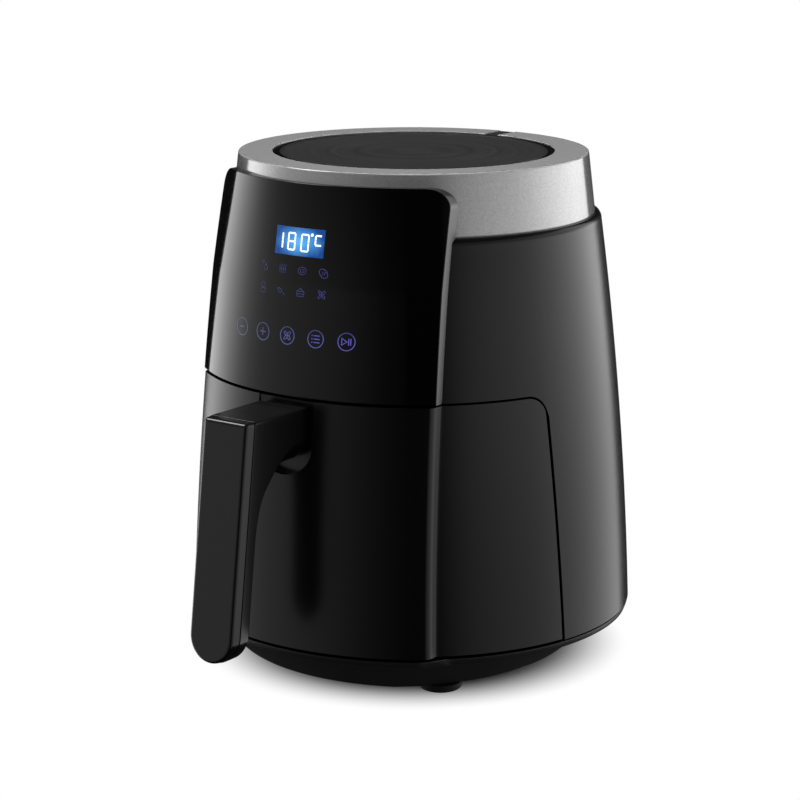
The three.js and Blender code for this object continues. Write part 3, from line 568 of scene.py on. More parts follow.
def plastic(colour, rough, wear, grain, depth, specular):
    values = dict(colour=colour, rough=rough, wear=wear, grain=grain, depth=depth, specular=specular)
    return moulded, values


FINISHES = {  # each is (how it is made, its numbers)
    "satin_black": plastic((0.0022, 0.0022, 0.0024), 0.24, 0.03, 2600.0, 0.006, 0.5),
    "drawer_black": plastic((0.0014, 0.0014, 0.0015), 0.25, 0.02, 1800.0, 0.004, 0.55),
    "handle_black": plastic((0.0046, 0.0046, 0.0049), 0.15, 0.03, 2600.0, 0.005, 0.62),
    "base_black": plastic((0.020, 0.020, 0.0206), 0.40, 0.04, 2200.0, 0.015, 0.45),
    "rubber": plastic((0.012, 0.012, 0.012), 0.75, 0.08, 1500.0, 0.03, 0.3),
    "silicone": plastic((0.016, 0.016, 0.016), 0.55, 0.05, 900.0, 0.01, 0.4),
    "fascia_black": (fascia_black, {}),
    "silver_paint": (silver_paint, {}),
    "spun_dark": (spun_dark, {}),
    "nonstick": (nonstick, {}),
    "steel": (sheet_metal, dict(light=0.62, dark=0.48, rough=0.26)),
    "galvanised": (sheet_metal, dict(light=0.42, dark=0.30, rough=0.36)),
    "board_green": (board_green, {}),
    "display": (display, {}),
    "lit_white": (lit_white, {}),
    "symbol_ink": (symbol_ink, {}),
}
made_finishes = {}


def finish(name):
    """The material of that name, made the first time that it is asked for."""
    if name not in made_finishes:
        nodes = Nodes("finish_" + name)
        recipe, values = FINISHES[name]
        recipe(nodes, **values)
        made_finishes[name] = nodes.material
    return made_finishes[name]


# ---------------------------------------------------------------- camera, floor and light

CAMERA_PLACE = (0.8500, -1.2056, 0.5037)  # in metres, from the foot of the body's axis
CAMERA_TURN = math.radians(35.5)
CAMERA_DROP = math.radians(13.453)
LENS = 112.14
SENSOR = 36.0

FLOOR_RADIUS = 11.9  # metres
FLOOR_RINGS = 24
FLOOR_SEGMENTS = 96
DOME_RADIUS = 12.0
SHADOW_END = (0.086, 0.135)  # metres from the axis between which the floor fades into even white

LIGHT_DISTANCE = 5.0
LIGHT_COLUMNS = 36
UPRIGHT_SPAN = 16.0  # the softboxes' heights lie within this, half of it below the floor
LEFT_HEIGHTS = [(-3.2, -5.0), (-0.7, -3.5), (0.1, 2.5), (6.0, 4.0)]
LEFT_UPRIGHT = [(-3.2, 1.0), (0.5, 1.0), (1.4, 0.4), (6.0, 0.4)]
LEFT_LEVELS = [
    (-136.5, 2.55), (-128, 2.4), (-120, 1.98), (-112, 1.45), (-105, 1.0), (-98, 0.70),
    (-90, 0.50), (-78, 0.40), (-60, 0.31), (-45, 0.23), (-32, 0.14), (-20, 0.065), (-8, 0.03),
]
RIGHT_HEIGHTS = [(-3.2, 0.0), (0.0, 0.0), (4.0, 0.0)]
RIGHT_UPRIGHT = [(-0.9, 0.55), (0.1, 1.0), (0.5, 1.0), (1.4, 0.4), (4.0, 0.4)]
RIGHT_LEVELS = [
    (11, 0.05), (21, 0.26), (28, 0.42), (38, 0.56), (50, 0.69), (64, 0.84), (75, 1.05), (90, 1.5),
    (102, 1.85), (114, 2.2), (125, 2.5), (142, 2.6),
]


def make_camera():
    data = bpy.data.cameras.new("camera")
    data.lens = LENS
    data.sensor_width = SENSOR
    data.clip_end = 100
    camera = link_object("camera", data)
    camera.location = Vector(CAMERA_PLACE) + Vector(AXIS)
    camera.rotation_euler = (math.pi / 2 - CAMERA_DROP, 0, CAMERA_TURN)
    bpy.context.scene.camera = camera


def make_world():
    world = bpy.data.worlds.new("studio")
    bpy.context.scene.world = world
    world.use_nodes = True
    background = world.node_tree.nodes["Background"]
    background.inputs["Color"].default_value = grey(0.012)
    background.inputs["Strength"].default_value = 1.0
    bpy.context.scene.view_settings.view_transform = "Standard"


def even_white(nodes):
    return nodes.add("ShaderNodeEmission", {"Color": grey(1.0), "Strength": 1.0})


def make_backdrop():
    """A white room that only the camera sees."""
    nodes = Nodes("backdrop_white")
    nodes.show(even_white(nodes))
    bpy.ops.mesh.primitive_uv_sphere_add(segments=48, ring_count=24, radius=DOME_RADIUS)
    dome = bpy.context.object
    dome.name = "backdrop"
    dome.data.materials.append(nodes.material)
    for kind in ("diffuse", "glossy", "transmission", "volume_scatter", "shadow"):
        setattr(dome, "visible_" + kind, False)


def floor_material():
    """White paper near the object, which fades into an even white away from it."""
    nodes = Nodes("floor_white")
    away = nodes.vector("DISTANCE", nodes.place(), AXIS)
    fade = nodes.ranged(away, *SHADOW_END, interpolation_type="SMOOTHSTEP")
    paper = nodes.add("ShaderNodeBsdfDiffuse", {"Color": grey(0.8)})
    surfaces = {0: fade, 1: paper.outputs[0], 2: even_white(nodes).outputs[0]}
    nodes.show(nodes.add("ShaderNodeMixShader", surfaces))
    return nodes.material


def make_floor():
    """A flat round sheet about the body's axis, with its narrowest rings in the middle."""
    radii = FLOOR_RADIUS * (np.arange(FLOOR_RINGS + 1) / FLOOR_RINGS) ** 2
    turns = np.linspace(0, 2 * math.pi, FLOOR_SEGMENTS, endpoint=False)
    points = [(r * math.sin(a), AXIS_Y * MM - r * math.cos(a), 0) for r in radii for a in turns]
    faces = quads(numbered(FLOOR_RINGS + 1, FLOOR_SEGMENTS))
    mesh = bpy.data.meshes.new("floor")
    mesh.from_pydata(points, [], [face[::-1] for face in faces])
    mesh.materials.append(floor_material())
    floor = link_object("floor", mesh)
    floor.visible_glossy = False
    floor.visible_diffuse = False
    floor.visible_shadow = False


def around(turn_degrees, distance, height):
    """A place that many degrees round from the camera, to its right, about the body's axis."""
    angle = CAMERA_TURN + math.radians(turn_degrees)
    return (distance * math.sin(angle), AXIS_Y * MM - distance * math.cos(angle), height)


def area_light(name, place, target, size, power):
    """A flat lamp that points at a target. Places and sizes are in metres, and power is in watts."""
    data = bpy.data.lights.new(name, "AREA")
    data.shape = "RECTANGLE"
    data.size, data.size_y = size
    data.energy = power
    lamp = link_object(name, data)
    lamp.location = place
    aim = Vector(target) - Vector(place)
    lamp.rotation_euler = aim.to_track_quat("-Z", "Y").to_euler()
    lamp.visible_camera = False
    return lamp


def softbox_mesh(name, heights, levels):
    """An upright curved sheet. Its UV map gives how far across a point is, and its height."""
    turn_from, turn_to = levels[0][0], levels[-1][0]
    points = []
    for z, lean in heights:
        start = turn_from + lean
        for share in np.linspace(0, 1, LIGHT_COLUMNS + 1):
            points.append(around(start + (turn_to - start) * share, LIGHT_DISTANCE, z))
    mesh = bpy.data.meshes.new(name)
    mesh.from_pydata(points, [], quads(numbered(len(heights), LIGHT_COLUMNS + 1, closed=False)))
    layer = mesh.uv_layers.new(name="across")
    for loop in mesh.loops:
        row, column = divmod(loop.vertex_index, LIGHT_COLUMNS + 1)
        layer.data[loop.index].uv = (column / LIGHT_COLUMNS, heights[row][0] / UPRIGHT_SPAN + 0.5)
    return mesh


def softbox(name, heights, levels, upright_levels):
    """An upright curved light. levels gives (degrees round from the camera, brightness) across it, and
    upright_levels gives (height, share of that brightness). heights gives (height, how many degrees its
    far edge leans from the first level)."""
    turn_from, turn_to = levels[0][0], levels[-1][0]
    top = max(level for _, level in levels)
    nodes = Nodes(name + "_light")
    spot = nodes.parts(nodes.add("ShaderNodeUVMap", uv_map="across").outputs["UV"])
    across = [((turn - turn_from) / (turn_to - turn_from), grey(level / top)) for turn, level in levels]
    upright = [(height / UPRIGHT_SPAN + 0.5, grey(level)) for height, level in upright_levels]
    strength = nodes.number("MULTIPLY", nodes.ramp(spot["Y"], upright), top)
    colour = nodes.ramp(spot["X"], across)
    nodes.show(nodes.add("ShaderNodeEmission", {"Color": colour, "Strength": strength}))
    mesh = softbox_mesh(name, heights, levels)
    mesh.materials.append(nodes.material)
    made = link_object(name, mesh)
    made.visible_camera = False
    made.visible_shadow = False


def make_lights():
    softbox("light_left", LEFT_HEIGHTS, LEFT_LEVELS, LEFT_UPRIGHT)
    softbox("light_right", RIGHT_HEIGHTS, RIGHT_LEVELS, RIGHT_UPRIGHT)
    top = area_light("light_top", (0, 0, 2.6), (0, 0, 0), (1.2, 1.2), 120)
    top.visible_glossy = False
    edge = area_light("light_edges", around(-103, 3.0, 4.0), (0, 0, 0.2), (1.6, 1.6), 60)
    edge.visible_diffuse = False


make_camera()
make_world()
make_backdrop()
make_floor()
make_lights()

# ---------------------------------------------------------------- control panel


def panel_grid(inset):
    """The panel's outline, filled with rows of (x, z), drawn smaller by inset."""
    start = PANEL_TOP - PANEL_CORNER
    rows = [(z, plate_half(z) - inset) for z in np.linspace(PANEL_LOW + inset, start, 48)]
    radius = PANEL_CORNER - inset
    middle = plate_half(start) - PANEL_CORNER
    for angle in np.linspace(0, math.pi / 2, 17)[1:]:
        rows.append((start + radius * math.sin(angle), middle + radius * math.cos(angle)))
    return np.array([[(half * s, z) for s in np.linspace(-1, 1, 97)] for z, half in rows])


def edge_loops(face_of, size, steps=4):
    """Loops of a rounded edge, from a face outwards. face_of(inset, depth) is that face, drawn smaller and
    set deeper."""
    loops = []
    for angle in np.linspace(0, math.pi / 2, steps + 1)[1:]:
        loops.append(border(face_of(size * (1 - math.sin(angle)), size * (1 - math.cos(angle)))))
    return loops


def panel_shape():
    """The gloss sheet, with a fine rounded edge, and behind it a frame that is set in by a rebate."""
    edge, sunk, rebate = 0.4, 1.5, 2.4

    def face(inset, depth):
        return on_plate(panel_grid(inset), depth)

    def behind(inset):
        """The panel's back, which follows the round body."""
        grid = panel_grid(inset)
        x, z = grid[..., 0], grid[..., 1]
        radius = np.where(z < SHELL_TOP, body_radius(z), ring_radius(z))
        return np.stack([x, sunk - np.sqrt(radius**2 - x**2), z], axis=-1)

    def between(inset, share):
        front_points, back_points = face(inset, 0.0), behind(inset)
        return border(front_points + (back_points - front_points) * share)

    loops = [*edge_loops(face, edge), between(0, 0.62), between(rebate, 0.64)]
    return slab(face(edge, 0), loops, behind(rebate))


piece("control_panel_skin", panel_shape(), "housing", "fascia_black", ["control_panel"])


def rectangle_grid(left, right, bottom, top, inset):
    xs = np.linspace(left + inset, right - inset, 25)
    zs = np.linspace(bottom + inset, top - inset, 13)
    return np.array([[(x, z) for x in xs] for z in zs])


WINDOW = (low("display_lens").x, high("display_lens").x, low("display_lens").z, high("display_lens").z)


def window_shape():
    proud, edge, thickness = 0.10, 0.08, 0.50

    def face(inset, depth):
        return on_plate(rectangle_grid(*WINDOW, inset), depth - proud)

    return slab(face(edge, 0), edge_loops(face, edge, 2), face(0, thickness))


piece("display_window", window_shape(), "housing", "display", ["display_lens"])


def stroke(path, width, proud=0.16, closed=False):
    """A flat line on the panel along a path of (x, z), as a thin closed strip."""
    path = np.asarray(path, float)
    count = len(path)
    ahead = np.roll(path, -1, axis=0) - path
    behind = path - np.roll(path, 1, axis=0)
    if not closed:
        ahead[-1], behind[0] = behind[-1], ahead[0]
    ahead /= np.linalg.norm(ahead, axis=1)[:, None]
    behind /= np.linalg.norm(behind, axis=1)[:, None]
    along = ahead + behind
    along /= np.linalg.norm(along, axis=1)[:, None]
    side = np.stack([-along[:, 1], along[:, 0]], axis=-1)
    reach = width / 2 / np.maximum(0.5, (along * ahead).sum(1))[:, None]
    left, right = path + side * reach, path - side * reach
    sides = np.stack([left, right, right, left])
    depths = np.array([-proud, -proud, 0.05, 0.05])
    points = np.concatenate([on_plate(s, d) for s, d in zip(sides, depths)])
    faces = []
    for i in range(count if closed else count - 1):
        k = (i + 1) % count
        for s in range(4):
            t = (s + 1) % 4
            faces.append([s * count + i, s * count + k, t * count + k, t * count + i])
    if not closed:
        faces.append([0, count, 2 * count, 3 * count])
        faces.append([4 * count - 1, 3 * count - 1, 2 * count - 1, count - 1])
    return points, faces


def outline(path, width):
    return stroke(path, width, closed=True)


def laid(path, x, z, turn):
    """A path turned by an angle and moved to (x, z)."""
    u, v = np.array(path, float).T
    c, s = math.cos(turn), math.sin(turn)
    return np.stack([x + u * c - v * s, z + u * s + v * c], axis=-1)


def circle_path(x, z, radius_x, radius_z=None, steps=36, turn=0.0):
    angles = np.linspace(0, 2 * math.pi, steps, endpoint=False)
    path = [(radius_x * math.cos(a), (radius_z or radius_x) * math.sin(a)) for a in angles]
    return laid(path, x, z, turn)


SEGMENTS = {  # ends of each bar of a seven-bar digit, on a box 1 wide and 2 high
    "top": ((0, 2), (1, 2)),
    "upper_left": ((0, 2), (0, 1)),
    "upper_right": ((1, 2), (1, 1)),
    "middle": ((0, 1), (1, 1)),
    "lower_left": ((0, 1), (0, 0)),
    "lower_right": ((1, 1), (1, 0)),
    "bottom": ((0, 0), (1, 0)),
}


def bar(start, end, width, gap=0.16):
    """One bar of a digit, with pointed ends."""
    start, end = np.array(start, float), np.array(end, float)
    length = np.linalg.norm(end - start)
    along = (end - start) / length
    start, end = start + along * gap, end - along * gap
    return stroke([start, end], width, 0.2)


def digit(x, z, width, height, names, weight):
    scale = np.array([width, height / 2])
    return [bar(*(np.array(p) * scale + (x, z) for p in SEGMENTS[n]), weight) for n in names]


ONE = ["upper_right", "lower_right"]
NOUGHT = [name for name in SEGMENTS if name != "middle"]
LETTER_C = ["top", "upper_left", "lower_left", "bottom"]
READOUT = [  # bars, left, low end, width and height as shares of the window's, and each bar's own width
    (list(SEGMENTS), 0.28, 0.20, 0.14, 0.59, 0.92),
    (NOUGHT, 0.555, 0.19, 0.14, 0.59, 0.92),
    (ONE, 0.01, 0.22, 0.145, 0.55, 1.05),
    (LETTER_C, 0.83, 0.44, 0.115, 0.34, 0.95),
]


def readout_shape():
    """The temperature shown: 180 and a degree sign with a C."""
    left, right, bottom, top = WINDOW
    wide, tall = right - left, top - bottom
    bars = []
    for names, across, up, width, height, weight in READOUT:
        bars += digit(left + across * wide, bottom + up * tall, width * wide, height * tall, names, weight)
    degree = circle_path(left + 0.755 * wide, bottom + 0.79 * tall, 0.62, steps=16)
    return combined(*bars, stroke(degree, 0.55, 0.2, closed=True))


piece("display_readout", readout_shape(), "housing", "display", look="lit_white")


def segment(x0, z0, x1, z1, width):
    return stroke([(x0, z0), (x1, z1)], width)


def four_blades(x, z, reach, length, width, steps):
    """Four small ovals in a cross, like a fan."""
    blades = []
    for k in range(4):
        turn = math.pi / 4 + k * math.pi / 2
        centre = (x + reach * math.cos(turn), z + reach * math.sin(turn))
        blades.append(outline(circle_path(*centre, length, width, steps, turn), 0.34))
    return blades


TOUCH_LEVEL = 212.0
TOUCH_PLACES = [-37.6, -19.4, -0.8, 18.3, 36.9]
TOUCH_RADIUS = 4.9
FOOD_LEVELS = (249.0, 237.0)
FOOD_PLACES = [-21.3, -7.4, 6.4, 20.3]


def touch_circles(z):
    """Five ringed touch keys: less, more, fan, list, and start or pause."""
    minus, plus, fan, menu, start = TOUCH_PLACES
    strokes = [outline(circle_path(x, z, TOUCH_RADIUS, steps=48), 0.42) for x in TOUCH_PLACES]
    strokes.append(segment(minus - 1.9, z, minus + 1.9, z, 0.5))
    strokes.append(segment(plus - 2.2, z, plus + 2.2, z, 0.42))
    strokes.append(segment(plus, z - 2.2, plus, z - 0.25, 0.42))
    strokes.append(segment(plus, z + 0.25, plus, z + 2.2, 0.42))
    strokes += four_blades(fan, z, 1.6, 1.45, 0.75, 20)
    for level in (z - 1.9, z, z + 1.9):
        strokes.append(segment(menu - 2.5, level, menu - 1.9, level, 0.6))
        strokes.append(segment(menu - 1.1, level, menu + 2.6, level, 0.5))
    strokes.append(outline([(start - 2.7, z - 1.9), (start + 0.3, z), (start - 2.7, z + 1.9)], 0.4))
    for x in (start + 1.3, start + 2.5):
        strokes.append(segment(x, z - 1.9, x, z + 1.9, 0.5))
    return strokes


def drop(x, z, size, turn):
    """A drop outline, pointed at its top."""
    half_arc, radius, height = 2.35, size * 0.62, size * 1.35
    angles = np.linspace(-0.5 * math.pi - half_arc, -0.5 * math.pi + half_arc, 22)
    path = [(radius * math.cos(a), radius * math.sin(a)) for a in angles]
    return outline(laid([*path, (0, height)], x, z, turn), 0.3)


def food_symbols(upper, lower):
    """Eight small outlines for cooking programs, in two rows of four."""
    a, b, c, d = FOOD_PLACES
    marks = [drop(a + 0.9, upper - 1.2, 1.9, 0.15)]
    marks.append(outline(circle_path(a - 1.4, upper + 2.2, 0.7, steps=12), 0.3))
    for k in (-1.8, -0.6, 0.6, 1.8):
        marks.append(segment(b + k, upper - 2.6, b + k * 1.25, upper + 2.4, 0.28))
    marks.append(segment(b - 2.4, upper - 0.2, b + 2.4, upper - 0.2, 0.3))
    marks.append(outline(circle_path(c, upper, 2.7, 2.1, 28), 0.28))
    marks.append(outline(circle_path(c, upper, 1.3, 0.9, 20), 0.26))
    marks.append(outline(circle_path(d, upper - 0.3, 3.0, 2.1, 32, -0.7), 0.34))
    for x in (d - 0.9, d - 0.9 + 1.3):
        marks.append(segment(x, upper - 1.2, x + 0.8, upper + 0.8, 0.28))
    marks.append(outline(circle_path(a, lower + 1.4, 1.5, 1.5, 20), 0.28))
    marks.append(outline(circle_path(a + 0.2, lower - 1.6, 1.9, 1.3, 22), 0.28))
    marks.append(drop(b - 0.6, lower - 0.4, 1.8, 0.9))
    marks.append(segment(b + 1.2, lower - 1.2, b + 2.8, lower - 2.6, 0.28))
    pot = [(-2.5, 0.6), (-2.1, -2.2), (2.1, -2.2), (2.5, 0.6)]
    marks.append(outline(laid(pot, c, lower, 0.0), 0.32))
    marks.append(segment(c - 2.2, lower - 0.8, c + 2.2, lower - 0.8, 0.28))
    marks.append(stroke([(c - 1.6, lower + 0.9), (c, lower + 2.4), (c + 1.6, lower + 0.9)], 0.3))
    return marks + four_blades(d, lower, 1.5, 1.4, 0.65, 18)


symbols = combined(*touch_circles(TOUCH_LEVEL), *food_symbols(*FOOD_LEVELS))
piece("panel_symbols", symbols, "housing", "display", look="symbol_ink")

# ---------------------------------------------------------------- drawer front


def spaced_rows(bottom, top, corner, straight, curved):
    """Heights that follow a straight side and then the round corner above it."""
    rows = list(np.linspace(bottom, top - corner, straight))
    rows += [top - corner + corner * math.sin(a) for a in np.linspace(0, math.pi / 2, curved + 1)[1:]]
    return np.array(rows)


def corner_setback(z, top, corner):
    """How far a round upper corner pulls the side in at a height."""
    rise = max(0.0, z - (top - corner))
    return corner - math.sqrt(max(0.0, corner**2 - rise**2))


POCKET_COLUMNS = POCKET_HALF * np.sin(np.linspace(0, math.pi / 2, 17))


def drawer_section(z, inset, edge):
    """Right half of the drawer's outline at a height, from past the pocket's edge to the wing's end."""
    half = plate_half(z) - DRAWER_PLATE_INSET - inset
    radius = body_radius(z) - inset
    xs = np.linspace(POCKET_HALF, half, 33)
    plate = [(x, plate_y(x, z, inset)) for x in xs]
    root = (half, -math.sqrt(radius**2 - half**2))
    start = math.asin(half / radius)
    end = math.acos(edge / radius)
    wing = [(radius * math.sin(a), -radius * math.cos(a)) for a in np.linspace(start, end, 41)[1:]]
    edge_round = arc_points(plate[-3], plate[-1], root, DRAWER_EDGE_ROUNDING, 8)
    root_round = arc_points(plate[-1], root, wing[0], DRAWER_ROOT_ROUNDING, 3)
    return [*plate[:-3], *edge_round, *root_round, *wing]


def drawer_block(rows, inset, side):
    """Rows of the drawer's outline on one side."""
    made = []
    for z in rows:
        edge = wing_edge(z) + corner_setback(z, DRAWER_TOP, WING_CORNER)
        made.append([(side * x, y, z) for x, y in drawer_section(z, inset, edge)])
    return np.array(made)


def pocket_block(side, inset, share):
    """Rows between the drawer's bottom edge and the pocket's round lower edge."""
    made = []
    for part in share:
        row = []
        for x in POCKET_COLUMNS:
            bottom = POCKET_CENTRE - POCKET_REACH * math.sqrt(max(0.0, 1 - (x / POCKET_HALF) ** 2))
            z = DRAWER_LOW + part * (bottom - DRAWER_LOW)
            row.append((side * x, plate_y(x, z, inset), z))
        made.append(row)
    return np.array(made)


def drawer_shape():
    """The drawer's front and its two wings, with a hole that the pocket fills."""
    share = np.linspace(0, 1, 33)
    lower = DRAWER_LOW + share * (POCKET_CENTRE - DRAWER_LOW)
    upper = spaced_rows(POCKET_CENTRE, DRAWER_TOP, WING_CORNER, 7, 10)

    def half(side, inset):
        made = [drawer_block(rows, inset, side) for rows in (lower, upper)]
        made.append(pocket_block(side, inset, share))
        return [block[:, ::side] for block in made]

    blocks = []
    for side in (1, -1):
        blocks += zip(half(side, 0.0), half(side, DRAWER_WALL))
    return thick(blocks)


piece("drawer_front_skin", drawer_shape(), "drawer", "drawer_black", ["drawer_front"], 40, 0.3)


def u_outline(half, centre, reach, top, straight=10, curved=24):
    """A U from its upper right end, round the bottom, to its upper left end, as (x, z)."""
    right = [(half, z) for z in np.linspace(top, centre, straight)]
    angles = np.linspace(0, -math.pi, curved)[1:-1]
    bottom = [(half * math.cos(a), centre + reach * math.sin(a)) for a in angles]
    left = [(-half, z) for z in np.linspace(centre, top, straight)]
    return np.array(right + bottom + left)


def pocket_shape():
    """The tub behind the hole in the drawer front, that the handle's root stands in."""
    top = DRAWER_TOP - 0.3
    floor_y = -plate_distance(POCKET_CENTRE) + POCKET_DEPTH
    wall, lap = 1.6, 0.02
    behind_front = DRAWER_WALL + 0.2

    def loop(growth, y=None, depth=0.0):
        """The pocket's outline, at one y or at a depth behind the plate."""
        path = u_outline(POCKET_HALF + growth, POCKET_CENTRE, POCKET_REACH + growth, top)
        return np.array([(x, plate_y(x, z) + depth if y is None else y, z) for x, z in path])

    inner, outer = loop(-lap, y=floor_y), loop(wall, y=floor_y + wall)
    lip, lip_back = loop(-lap, depth=0.7), loop(-lap, depth=behind_front)
    return lofted([inner, lip, lip_back, loop(wall, depth=behind_front), outer], closed=False)


piece("drawer_pocket", pocket_shape(), "drawer", "drawer_black")

# ---------------------------------------------------------------- handle


COVER_DEPTH = 6.0
COVER_DRAFT = 0.7
COVER_ROUNDING = 2.3
SEAM = 1.0
TONGUE_INSET = 1.4
TONGUE_REACH = 0.4  # how far the cover's tongue goes into the body, past the seam
TOP_CORNER = 1.6

ARM_END = plate_distance(POCKET_CENTRE) + 0.6  # in front of the axis
ARM_CENTRE = 153.0
ARM_REACH = 11.7
ARM_EDGE = 1.5
ARM_SWELL_START = 0.45  # share of the underside where the arm's lower edge starts to turn round
UNDER_START = 108.0
HANDLE_COLUMNS = 24


def handle_face(z):
    """How far in front of the axis the handle's face is."""
    return HANDLE_FACE_TOP + (HANDLE_TOP - z) * HANDLE_TILT


def round_top(top, corner, half):
    """Heights and half widths round an upper corner."""
    return [
        (top - corner + corner * math.sin(a), half - corner + corner * math.cos(a))
        for a in np.linspace(0, math.pi / 2, 7)[1:]
    ]


def handle_grid(inset, top):
    """The handle seen from the front: a round lower end, straight sides and small upper corners."""
    half = HANDLE_HALF - inset
    middle = HANDLE_LOW + HANDLE_HALF
    corner = max(0.3, TOP_CORNER + 0.6 - inset * 0.5)
    rows = [(middle - half * math.cos(a), half * math.sin(a)) for a in np.linspace(0, math.pi / 2, 25)]
    rows += [(z, half) for z in np.linspace(middle, top - inset - corner, 40)[1:]]
    rows += round_top(top - inset, corner, half)
    across = np.linspace(-1, 1, HANDLE_COLUMNS + 1)
    return np.array([[(wide * s, z) for s in across] for z, wide in rows])


def cover_shape():
    """The handle's front, with a tongue at its back that closes the seam to the body."""

    def place(points, depth):
        x, z = points[..., 0], points[..., 1]
        return np.stack([x, depth - handle_face(z), z], axis=-1)

    def face(inset, depth):
        return place(handle_grid(inset + COVER_DRAFT, HANDLE_TOP + COVER_DRAFT), depth)

    loops = edge_loops(face, COVER_ROUNDING, 8)
    tongue = handle_grid(TONGUE_INSET, HANDLE_TOP - 1.0)
    loops.append(border(place(handle_grid(0.0, HANDLE_TOP), COVER_DEPTH)))
    loops.append(border(place(tongue, COVER_DEPTH)))
    return slab(face(COVER_ROUNDING, 0), loops, place(tongue, COVER_DEPTH + SEAM + TONGUE_REACH))


piece("handle_cover_skin", cover_shape(), "drawer", "handle_black", ["handle_cover"])

UNDERSIDE = np.array([  # as (distance in front of the axis, height)
    (handle_face(UNDER_START) - GRIP_DEPTH, UNDER_START),
    (170.0, 124.5),
    (165.4, 143.0),
    (150.0, 142.0),
    (ARM_END + ARM_EDGE, ARM_CENTRE - ARM_REACH),
])


def underside(share):
    """A point of the arm's lower edge in side view, on the smooth curve that UNDERSIDE steers, and the
    way it faces."""
    t, u = share, 1 - share
    weights = np.array([u**4, 4 * u**3 * t, 6 * u * u * t * t, 4 * u * t**3, t**4])
    steps = np.array([u**3, 3 * u * u * t, 3 * u * t * t, t**3])
    slope = steps @ (UNDERSIDE[1:] - UNDERSIDE[:-1])
    return weights @ UNDERSIDE, np.array([-slope[1], slope[0]]) / np.linalg.norm(slope)


def handle_rows():
    """The rows of the handle's body, from its low end to its top. Each has its height on the front and
    its share of the width, then its place on the back and the way that it faces there, as (distance in
    front of the axis, height), and last how far its ends bend up and how far they draw in."""
    rows = []

    def row(front_z, place, facing=(-1.0, 0.0), width=1.0, bend=0.0, draw_in=0.0):
        rows.append((front_z, width, *place, *facing, bend, draw_in))

    middle = HANDLE_LOW + HANDLE_HALF
    for angle in np.linspace(0, math.pi / 2, 25):
        z = middle - HANDLE_HALF * math.cos(angle)
        row(z, (handle_face(z) - GRIP_DEPTH, z), width=math.sin(angle))
    for z in np.linspace(middle, UNDER_START, 16)[1:]:
        row(z, (handle_face(z) - GRIP_DEPTH, z))
    arm_top = HANDLE_TOP - 8
    for share in np.linspace(0, 1, 33)[1:]:
        rise = max(0.0, (share - ARM_SWELL_START) / (1 - ARM_SWELL_START))
        bend = ARM_REACH * rise * rise * (3 - 2 * rise)
        row(UNDER_START + (arm_top - UNDER_START) * share, *underside(share), bend=bend)
    low_end = ARM_CENTRE - ARM_REACH + ARM_EDGE
    for angle in np.linspace(0, math.pi / 2, 7)[1:]:
        facing = (-math.sin(angle), -math.cos(angle))
        place = (ARM_END + ARM_EDGE * (1 + facing[0]), low_end + ARM_EDGE * facing[1])
        row(arm_top + angle * 0.2, place, facing, bend=ARM_REACH)
    arm_top += math.pi * 0.1
    corner_start = HANDLE_TOP - TOP_CORNER
    for share in np.linspace(0, 1, 9)[1:]:
        place = (ARM_END, low_end + (corner_start - low_end) * share)
        row(arm_top + (corner_start - arm_top) * share, place, bend=ARM_REACH * (1 - share) ** 2)
    for angle in np.linspace(0, math.pi / 2, 6)[1:]:
        z = HANDLE_TOP - TOP_CORNER * (1 - math.sin(angle))
        row(z, (ARM_END, z), draw_in=TOP_CORNER * (1 - math.cos(angle)))
    return np.array(rows).T


def handle_body_shape():
    """Grip and arm. The front follows the cover. The back follows the grip, then curves in to the drawer,
    where the arm ends in a U."""
    front_edge, back_edge = 0.3, 1.3
    front_z, width, back_y, back_z, facing_y, facing_z, bend, draw_in = handle_rows()
    across = np.linspace(-1, 1, HANDLE_COLUMNS + 1)
    roundness = 1 - np.sqrt(np.maximum(0, 1 - across**2))
    low_end = np.clip((HANDLE_LOW + HANDLE_HALF - front_z) / HANDLE_HALF, 0, 1)

    def grid(y, z, bent, inset):
        half = np.maximum(0.0, width * (HANDLE_HALF - inset) - draw_in)
        level = np.minimum(z + low_end * inset, HANDLE_TOP - inset)
        heights = level[:, None] + bent[:, None] * roundness
        return np.stack([half[:, None] * across, y[:, None] + 0 * heights, heights], axis=-1)

    def front(inset, depth):
        return grid(depth + COVER_DEPTH + SEAM - handle_face(front_z), front_z, 0 * bend, inset)

    def back(inset, depth):
        return grid(facing_y * depth - back_y, back_z - facing_z * depth, bend, inset)

    loops = edge_loops(front, front_edge) + edge_loops(back, back_edge, 7)[::-1]
    return slab(front(front_edge, 0.0), loops, back(back_edge, 0.0))


piece("handle_body_skin", handle_body_shape(), "drawer", "handle_black", ["handle_body"])


def root_shape():
    """The narrower block that joins the arm to the floor of the pocket."""
    inset = 1.6
    path = u_outline(HANDLE_HALF - inset, ARM_CENTRE, ARM_REACH - inset, HANDLE_TOP - 1.4, 6, 28)
    depths = (-ARM_END - 3.0, POCKET_DEPTH + 0.05 - plate_distance(POCKET_CENTRE))
    return lofted([np.array([(x, y, z) for x, z in path]) for y in depths])


piece("handle_root", root_shape(), "drawer", "handle_black")

# ---------------------------------------------------------------- outer shell and base


SHELL_COLUMNS = 96
SHOULDER_LOW = SHELL_TOP - SHOULDER
OPENING_TOP = PANEL_LOW - 0.4
OPENING_CORNER = WING_CORNER + DRAWER_GAP
OPENING_SIDE_TOP = OPENING_TOP - OPENING_CORNER


def side_end(z):
    """How far round from the back the shell goes beside the drawer."""
    return math.pi - math.acos((wing_edge(z) - DRAWER_GAP) / body_radius(z))


